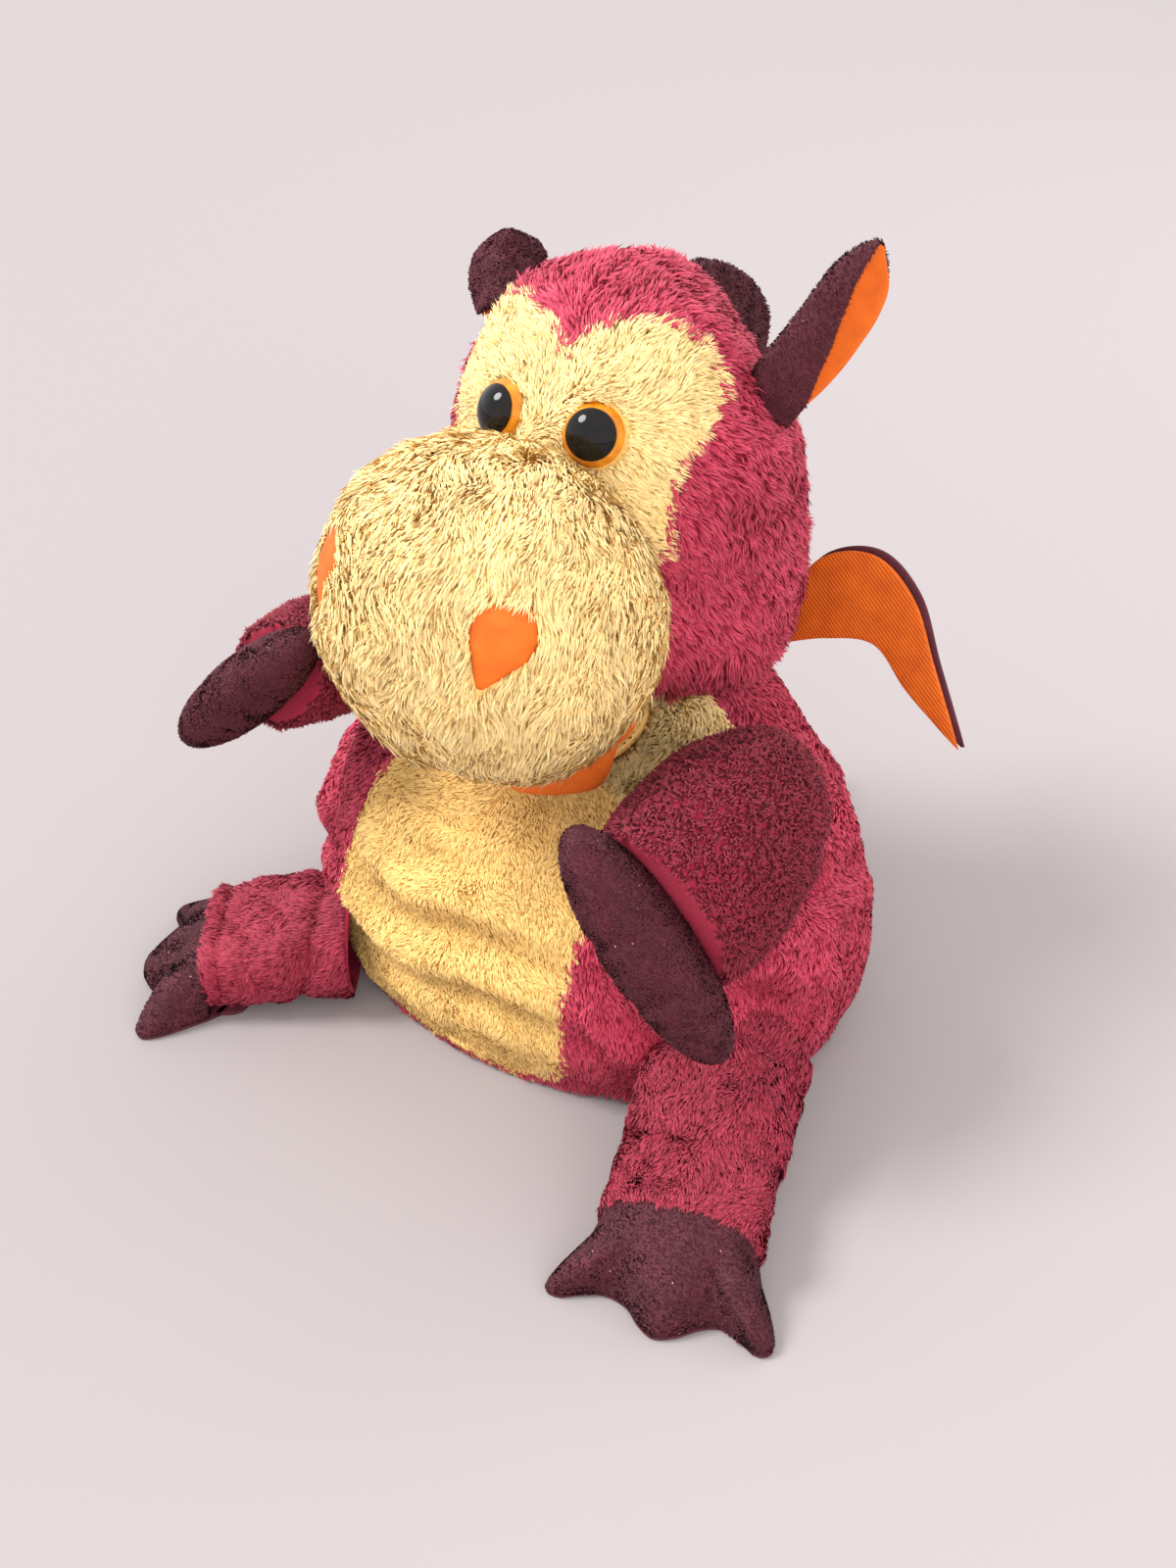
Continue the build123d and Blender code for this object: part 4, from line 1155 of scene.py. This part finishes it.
ARMS = {
    "left": ((86, -24, 116), (80, -80, 102), (0.50, 0.0, -0.87), 0.62, (33.0, 22.0, 0.92), (46.0, 12.0, 14.5)),
    "right": ((-84, -16, 117), (-86, -64, 124), (-0.7, -0.25, -0.65), 0.50, (26.0, 20.0, 1.0), (40.0, 11.5, 14.0)),
}
for name, (shoulder, wrist, wide, share, sleeve_size, paw_size) in ARMS.items():
    shoulder, wrist, wide = (np.array(v, float) for v in (shoulder, wrist, wide))
    along = unit(wrist - shoulder)
    wide = unit(wide - along * (wide @ along))
    flat = np.cross(along, wide)
    reach = np.linalg.norm(wrist - shoulder)
    frame_rows = np.stack([wide, flat, along])
    centre = shoulder + (wrist - shoulder) * share

    def to_world(local, origin=centre, rows=frame_rows):
        return local @ rows + origin

    local = sphere_small.points * (sleeve_size[0], sleeve_size[1], sleeve_size[2] * reach)
    soft = 0.8 * noise(to_world(local), 22.0, 52)
    local = local + sphere_small.points * (soft - 0.4)[:, None]
    # The cuff is cut across at the wrist, with a slightly rolled edge
    end = reach * (1 - share)
    over = np.maximum(local[:, 2] - end, 0)
    local[:, 2] = np.minimum(local[:, 2], end)
    local[:, :2] *= (1 - 0.9 * np.clip(over / (sleeve_size[2] * reach - end), 0, 1))[:, None]
    sleeve = Skin(to_world(local), sphere_small.faces)
    make(f"{name}_sleeve_stuffed", sleeve, RASPBERRY_GROUND, f"{name}_arm",
         (f"{name}_sleeve", f"{name}_arm_wadding"))

    def sleeve_keep(points, origin=centre, rows=frame_rows, limit=end):
        return ((points - origin) @ rows.T)[:, 2] < limit - 0.3

    def sleeve_flow(points, normals, a=along):
        return np.broadcast_to(a, points.shape) + swirl(points, 4.0, 55) * 1.6

    # The sleeve's loops carry painted shade: a darker copy of the raspberry plush
    pile(f"{name}_sleeve_pile", sleeve, 18000, 2.7, 1.15, sleeve_flow, SHADED_RASPBERRY_LOOPS, f"{name}_arm", 25,
         lean=0.35, clump=0.75, clump_size=1.9, keep=sleeve_keep, stray=0.6, sides=3)
    paw_points = sphere_small.points * paw_size
    # Three soft fingers pressed together
    clefts = swell(paw_points[:, 0], 12, 2.2) + swell(paw_points[:, 0], -12, 2.2)
    fingers = -1.6 * clefts * step(paw_points[:, 2], 2, 12)
    paw_points = paw_points + sphere_small.points * fingers[:, None] + (4.0, 0.0, 12.0)
    paw_points[:, 2] = np.maximum(paw_points[:, 2], 0.25)
    paw = Skin(paw_points @ frame_rows + wrist, sphere_small.faces)
    make(f"{name}_paw_velour", paw, VELOUR, f"{name}_arm", (f"{name}_paw",))


# --- Legs ---------------------------------------------------------------------------

LEG_WIDTH, LEG_THICK, LEG_SEAM, LEG_ROUND, SOLE_TOP = 52.0, 31.0, 26.0, 15.5, 1.7
SOLE_ROWS = ((0.05, 1.5), (0.5, 1.5), (0.97, 1.5), (1.0, 1.1), (1.0, 0.4), (0.97, 0.0), (0.5, 0.0), (0.05, 0.0))
HIPS = {"left": (89.0, -44.0, 22.0), "right": (-61.0, -64.0, 22.0)}

# Outline of the webbed foot, ahead of and across the seam, with three pointed toes
TOES = [(0.2, -25.5), (7, -30), (15, -35.5), (21, -36.5), (22, -31), (18.5, -24.5), (17.5, -18), (20, -11),
        (25.5, -5.5), (28.5, 0), (26, 6.5), (21, 13), (19, 19), (21.5, 25.5), (25.5, 31), (22.5, 35.5), (14, 33),
        (6, 28.5), (0.2, 25.5)]
toe_turns = full_turn(220)
edge_points = curve_points(TOES, np.linspace(0, 1, 400))[:, :2] - (2.0, 0.0)
edge_points = np.vstack([edge_points, np.stack([np.full(60, -1.8), np.linspace(25.5, -25.5, 60)], 1)])
edge_angles = np.arctan2(edge_points[:, 1], edge_points[:, 0]) % (2 * math.pi)
order = np.argsort(edge_angles)
toe_line = np.interp(toe_turns, edge_angles[order], np.hypot(*edge_points[order].T), period=2 * math.pi)


LEG_TURNS = full_turn(120)


def leg_rings(length):
    # Round at the hip, then boxy along its length
    rings = []
    round_end = LEG_ROUND * (1 - np.cos(np.linspace(0.02, math.pi / 2, 16)))
    for s in (*round_end, *np.linspace(LEG_ROUND + 1, length - 1.2, 44), length - 0.3, length):
        bulge = math.sqrt(max(1 - ((LEG_ROUND - min(s, LEG_ROUND)) / LEG_ROUND) ** 2, 0.0))
        close = 1 - 0.06 * step(np.array([s]), length - 2, length)[0]
        half_w, half_t = LEG_WIDTH / 2 * (0.25 + 0.75 * bulge) * close, (LEG_THICK / 2 - 1.2) * bulge * close
        cos, sin = np.cos(LEG_TURNS), np.sin(LEG_TURNS)
        x = signed_power(cos, 0.72) * half_w
        x = np.where(x > 0, x * (0.80 + 0.20 * s / length), x)
        z = signed_power(sin, 0.8) * half_t
        rings.append(np.stack([np.full(len(LEG_TURNS), s), x, z + SOLE_TOP + LEG_THICK / 2 - 1.2], 1))
    return rings


def toe_cap_skin(place, length):
    # Three rounded toes that slope down from the seam
    rings = []
    for rho in np.concatenate([np.linspace(0.03, 0.9, 26), 1 - 0.1 * (1 - np.linspace(0.1, 1, 12)) ** 2]):
        x = toe_line * np.cos(toe_turns) * rho + 2.0
        y = toe_line * np.sin(toe_turns) * rho
        peak = 28.5 - 15.5 * np.clip(x / 24, 0, 1) ** 0.8
        side = np.clip(1 - 0.55 * (np.abs(y) / 36) ** 2.5, 0.3, 1)
        dome = max(1 - rho**5.0, 0) ** 0.5
        seam = step(x, 0.0, 5.0)
        height = peak * side * (dome * seam + (1 - seam) * np.minimum(dome * 1.6, 1) * 0.985)
        split = np.minimum(np.abs(y - 12 - 0.18 * x), np.abs(y + 12 + 0.18 * x))
        height *= 1 - 0.22 * np.exp(-((split / 4.0) ** 2)) * step(x, 6, 18)
        rings.append(place(np.stack([x + length, y, np.maximum(height, 0) + SOLE_TOP], 1)))
    low = rings[-1].copy()
    low[:, 2] = SOLE_TOP
    return tube_skin(rings + [low], closed_ends=True)


def sole_skin(place, length):
    # A thin velour bottom that shows as a strip beneath the leg
    outline = np.stack([toe_line * np.cos(toe_turns) + 2.0 + length, toe_line * np.sin(toe_turns),
                        np.zeros_like(toe_turns)], 1)
    back = outline[:, 0] < length + 2
    angle = np.arctan2(outline[:, 1], outline[:, 0] - length)
    outline[back, 0] = np.clip(length + 2 - (length - 17) * np.abs(np.cos(angle[back])) ** 0.35, 16, None)
    outline[back, 1] = np.sign(outline[back, 1]) * np.minimum(22.5, np.abs(np.sin(angle[back])) ** 0.4 * 22.5)
    middle = np.array((length * 0.55, 0.0, 0.0))
    rows = []
    for shrink, z in SOLE_ROWS:
        ring = (outline - middle) * shrink + middle
        ring[:, 2] = z
        rows.append(place(ring))
    return tube_skin(rows, closed_ends=True)


for name, (root, tip) in LEGS.items():
    root, tip = np.array((*root, 0.0)), np.array((*tip, 0.0))
    ahead = unit(tip - root)
    left = np.cross((0, 0, 1), ahead)
    length = np.linalg.norm(tip - root) - LEG_SEAM

    def place(local, origin=root, a=ahead, b=left):
        return origin + local[:, :1] * a + local[:, 1:2] * b + local[:, 2:] * (0, 0, 1)

    rings = leg_rings(length)
    leg = tube_skin([place(r) for r in rings], closed_ends=True)
    soft = 0.9 * noise(leg.points, 24.0, 61) - 0.5
    reach = (leg.points - root) @ ahead
    crease = -1.8 * swell(reach, 14, 3.0) - 1.2 * swell(reach, 27, 3.0)
    upper = step(leg.points[:, 2], 4, 20)
    leg.points = push(leg.points, leg.normals(), (soft + crease) * upper - 0.2)
    leg.points[:, 2] = np.maximum(leg.points[:, 2], SOLE_TOP)
    make(f"{name}_leg_stuffed", leg, RASPBERRY_GROUND, f"{name}_leg",
         (f"{name}_leg_cover", f"{name}_leg_wadding"))

    def hip_flow(points, normals, a=ahead):
        return np.broadcast_to(a, points.shape) * 0.6 + swirl(points, 20.0, 67) * 0.5 - (0, 0, 0.3)

    def leg_flow(points, normals, a=ahead):
        return np.broadcast_to(a, points.shape) * 0.9 + swirl(points, 24.0, 66) * 0.5

    # Hip gusset: loose plush that folds between the glove and the leg
    hip = np.array(HIPS[name])
    cos, sin = np.cos(LEG_TURNS), np.sin(LEG_TURNS)
    hip_ring = hip + (signed_power(cos, 0.8) * np.where(cos > 0, 24, 29))[:, None] * left
    hip_ring = hip_ring + (sin * 20.5)[:, None] * (0, 0, 1)
    leg_ring = place(rings[22])
    leg_ring = leg_ring.mean(0) + (leg_ring - leg_ring.mean(0)) * 1.03
    gusset = tube_skin([hip_ring * (1 - t) + leg_ring * t for t in np.linspace(0, 1, 30)])
    gap = (gusset.points - hip) @ ahead
    fold = -2.2 * swell(gap + 0.25 * (gusset.points[:, 2] - 20), 16.0, 3.2) + 1.0 * noise(gusset.points, 14.0, 63)
    gusset.points = push(gusset.points, gusset.normals(), fold)
    gusset.points[:, 2] = np.maximum(gusset.points[:, 2], 1.2)
    gusset_cover = make(f"{name}_hip_gusset", gusset, RASPBERRY_GROUND, None, (), 2.0)
    # The hip pile carries painted shade: a darker copy of the raspberry plush
    gusset_pile = pile(f"{name}_hip_pile", gusset, 28000, 3.6, 0.8, hip_flow, SHADED_RASPBERRY_PILE, None, 29,
                       lean=0.72, clump_size=2.4, **SMOOTH, keep=lambda p: p[:, 2] > 2)
    for piece in (gusset_cover, gusset_pile):
        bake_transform(piece)

    def leg_keep(points, origin=root, a=ahead, end=length):
        s = (points - origin) @ a
        return (s > 6) & (s < end - 0.4) & (points[:, 2] > 2.6)

    # The leg pile carries painted shade: a darker copy of the raspberry plush
    pile(f"{name}_leg_pile", leg, 44000, 3.6, 0.8, leg_flow, SHADED_RASPBERRY_PILE, f"{name}_leg", 26,
         lean=0.72, clump_size=2.4, **SMOOTH, keep=leg_keep)

    make(f"{name}_toes_velour", toe_cap_skin(place, length), VELOUR, f"{name}_leg", (f"{name}_toe_cap",))

    make(f"{name}_sole_velour", sole_skin(place, length), VELOUR, f"{name}_leg", (f"{name}_sole",))


# --- Tail ---------------------------------------------------------------------------

tail_out = heading(180 + YAW)
tail_side = np.cross(tail_out, (0, 0, 1))


def tail_ring(along, half_height, half_width):
    turns = full_turn(96)
    centre = tail_out * (87.5 + along) + np.array((0, 0, 19 + along * 0.06))
    ring = centre + np.cos(turns)[:, None] * half_width * tail_side
    return ring + np.sin(turns)[:, None] * half_height * np.array((0, 0, 1))


def tail_form(rows, count):
    return tube_skin([tail_ring(*row) for row in curve_points(rows, np.linspace(0, 1, count))], closed_ends=True)


# Distance along the tail, half height and half width
TAIL = [(-5.0, 3, 3), (-4.6, 11, 10), (-4.0, 15, 14), (0, 17.4, 16.4), (9, 16.6, 15.6), (20, 14.8, 13.8),
        (29, 12.4, 11.7), (35, 10.5, 10.0), (37, 9.6, 9.1), (37.9, 7, 6.6), (38, 2, 2)]
TAIL_TIP = [(38.3, 5, 5), (38.4, 9.2, 8.7), (40, 9.6, 9.1), (46, 7.0, 6.6), (51, 4.6, 4.4), (55, 2.6, 2.5),
            (56, 0.8, 0.8)]
tail = tail_form(TAIL, 60)
tail.points = push(tail.points, tail.normals(), 0.6 * noise(tail.points, 18.0, 71) - 0.3)
make("tail_stuffed", tail, RASPBERRY_GROUND, "tail", ("tail_cover", "tail_wadding"))
pile("tail_pile", tail, 16000, 4.5, 0.9, lambda p, n: np.broadcast_to(tail_out, p.shape) + swirl(p, 20.0, 77) * 0.4,
     RASPBERRY_PILE, "tail", 27, lean=0.6, clump=0.45, clump_size=3.0,
     keep=lambda p: ((p @ tail_out) > 91) & ((p @ tail_out) < 124.8) & (p[:, 2] > 2.5))
make("tail_tip_velour", tail_form(TAIL_TIP, 40), VELOUR, "tail", ("tail_tip",))


# --- Eyes keep their CAD shape and get moulded plastic --------------------------------

for side in ("left", "right"):
    for part, material in (("cap", AMBER), ("pupil", BLACK), ("washer", WASHER)):
        node = frame["nodes"][f"{side}_eye_{part}"]
        node.data.materials.clear()
        node.data.materials.append(material)


# --- Nap of the velour pieces -----------------------------------------------------------


def nap(name, count, body, seed):
    # Very short dense tufts over a velour piece that is already made
    mesh = bpy.data.objects[name].data
    points = np.empty(len(mesh.vertices) * 3)
    mesh.vertices.foreach_get("co", points)
    skin = Skin(points.reshape(-1, 3) / MM, [tuple(f.vertices) for f in mesh.polygons if len(f.vertices) < 5])
    pile(f"{name}_nap", skin, count, 1.1, 0.5, lambda p, n: swirl(p, 9.0, 3) + (0, -0.3, -0.3), NAP, body, seed,
         lean=0.55, clump=0.1, clump_size=1.4, sink=0.4, stray=0.4, patch=12.0, grain=0.15)


# Each velour piece with its body and its number of tufts
NAPPED = [(f"{side}_{part}_velour", f"{side}_{body}", count)
          for part, body, count in (("paw", "arm", 22000), ("toes", "leg", 22000), ("ear", "ear", 12000))
          for side in ("left", "right")]
NAPPED += [("head_crest_velour", "head", 12000), ("tail_tip_velour", "tail", 12000)]
for seed, (name, body, count) in enumerate(NAPPED, 40):
    nap(name, count, body, seed)


# --- Stuffed and padded pieces, tested by name; the result is not kept -----------------

PADDED_ENDINGS = ("paw_velour", "toes_velour", "head_crest_velour", "tail_tip_velour")
for piece in list(bpy.data.objects):
    "stuffed" in piece.name or piece.name.endswith(PADDED_ENDINGS)


# --- Floor, light and camera --------------------------------------------------------

FLOOR_TONE = (0.345, 0.309, 0.309, 1)
SKY_TONE, SKY_STRENGTH = (0.97, 0.95, 0.96, 1), 1.45
KEY_AIM, KEY_STRENGTH, KEY_SPREAD = (0.75, 0.50, -1.05), 2.8, 22

floor_look = Look("studio_floor", 0.9)
floor_look.shader["Base Color"].default_value = FLOOR_TONE
bpy.ops.mesh.primitive_plane_add(size=12)
floor = bpy.context.object
floor.name = "studio_floor"
floor.data.materials.append(floor_look.material)

world = bpy.data.worlds.new("studio")
world.use_nodes = True
sky = world.node_tree.nodes["Background"].inputs
sky["Color"].default_value = SKY_TONE
sky["Strength"].default_value = SKY_STRENGTH
bpy.context.scene.world = world


def softbox(name, spot, target, size, power):
    light = bpy.data.lights.new(name, "AREA")
    light.energy = power
    light.size = size
    lamp = add_object(name, light)
    lamp.location = spot
    lamp.rotation_euler = (Vector(target) - Vector(spot)).to_track_quat("-Z", "Y").to_euler()
    return lamp


sun_data = bpy.data.lights.new("key", "SUN")
sun_data.energy = KEY_STRENGTH
sun_data.angle = math.radians(KEY_SPREAD)
sun = add_object("key", sun_data)
sun.rotation_euler = Vector(KEY_AIM).to_track_quat("-Z", "Y").to_euler()
fill = softbox("fill", (0.9, -0.9, 0.5), (0, 0, 0.12), 0.8, 8)
fill.visible_glossy = False
softbox("rim", (0.3, 1.1, 0.9), (0, 0, 0.18), 0.6, 3)

# Place in metres, lens in millimetres, angles in degrees
CAMERA_SPOT, CAMERA_LENS, CAMERA_PITCH, CAMERA_AZIMUTH = (0.2996, -0.4613, 0.450), 42.1, 34.4, 33.0
camera_data = bpy.data.cameras.new("camera")
camera_data.sensor_fit = "VERTICAL"
camera_data.sensor_height = 36.0
camera_data.lens = CAMERA_LENS
camera = add_object("camera", camera_data)
camera.location = CAMERA_SPOT
camera.rotation_euler = (math.radians(90 - CAMERA_PITCH), 0, math.radians(CAMERA_AZIMUTH))
bpy.context.scene.camera = camera
bpy.context.scene.view_settings.view_transform = "Standard"
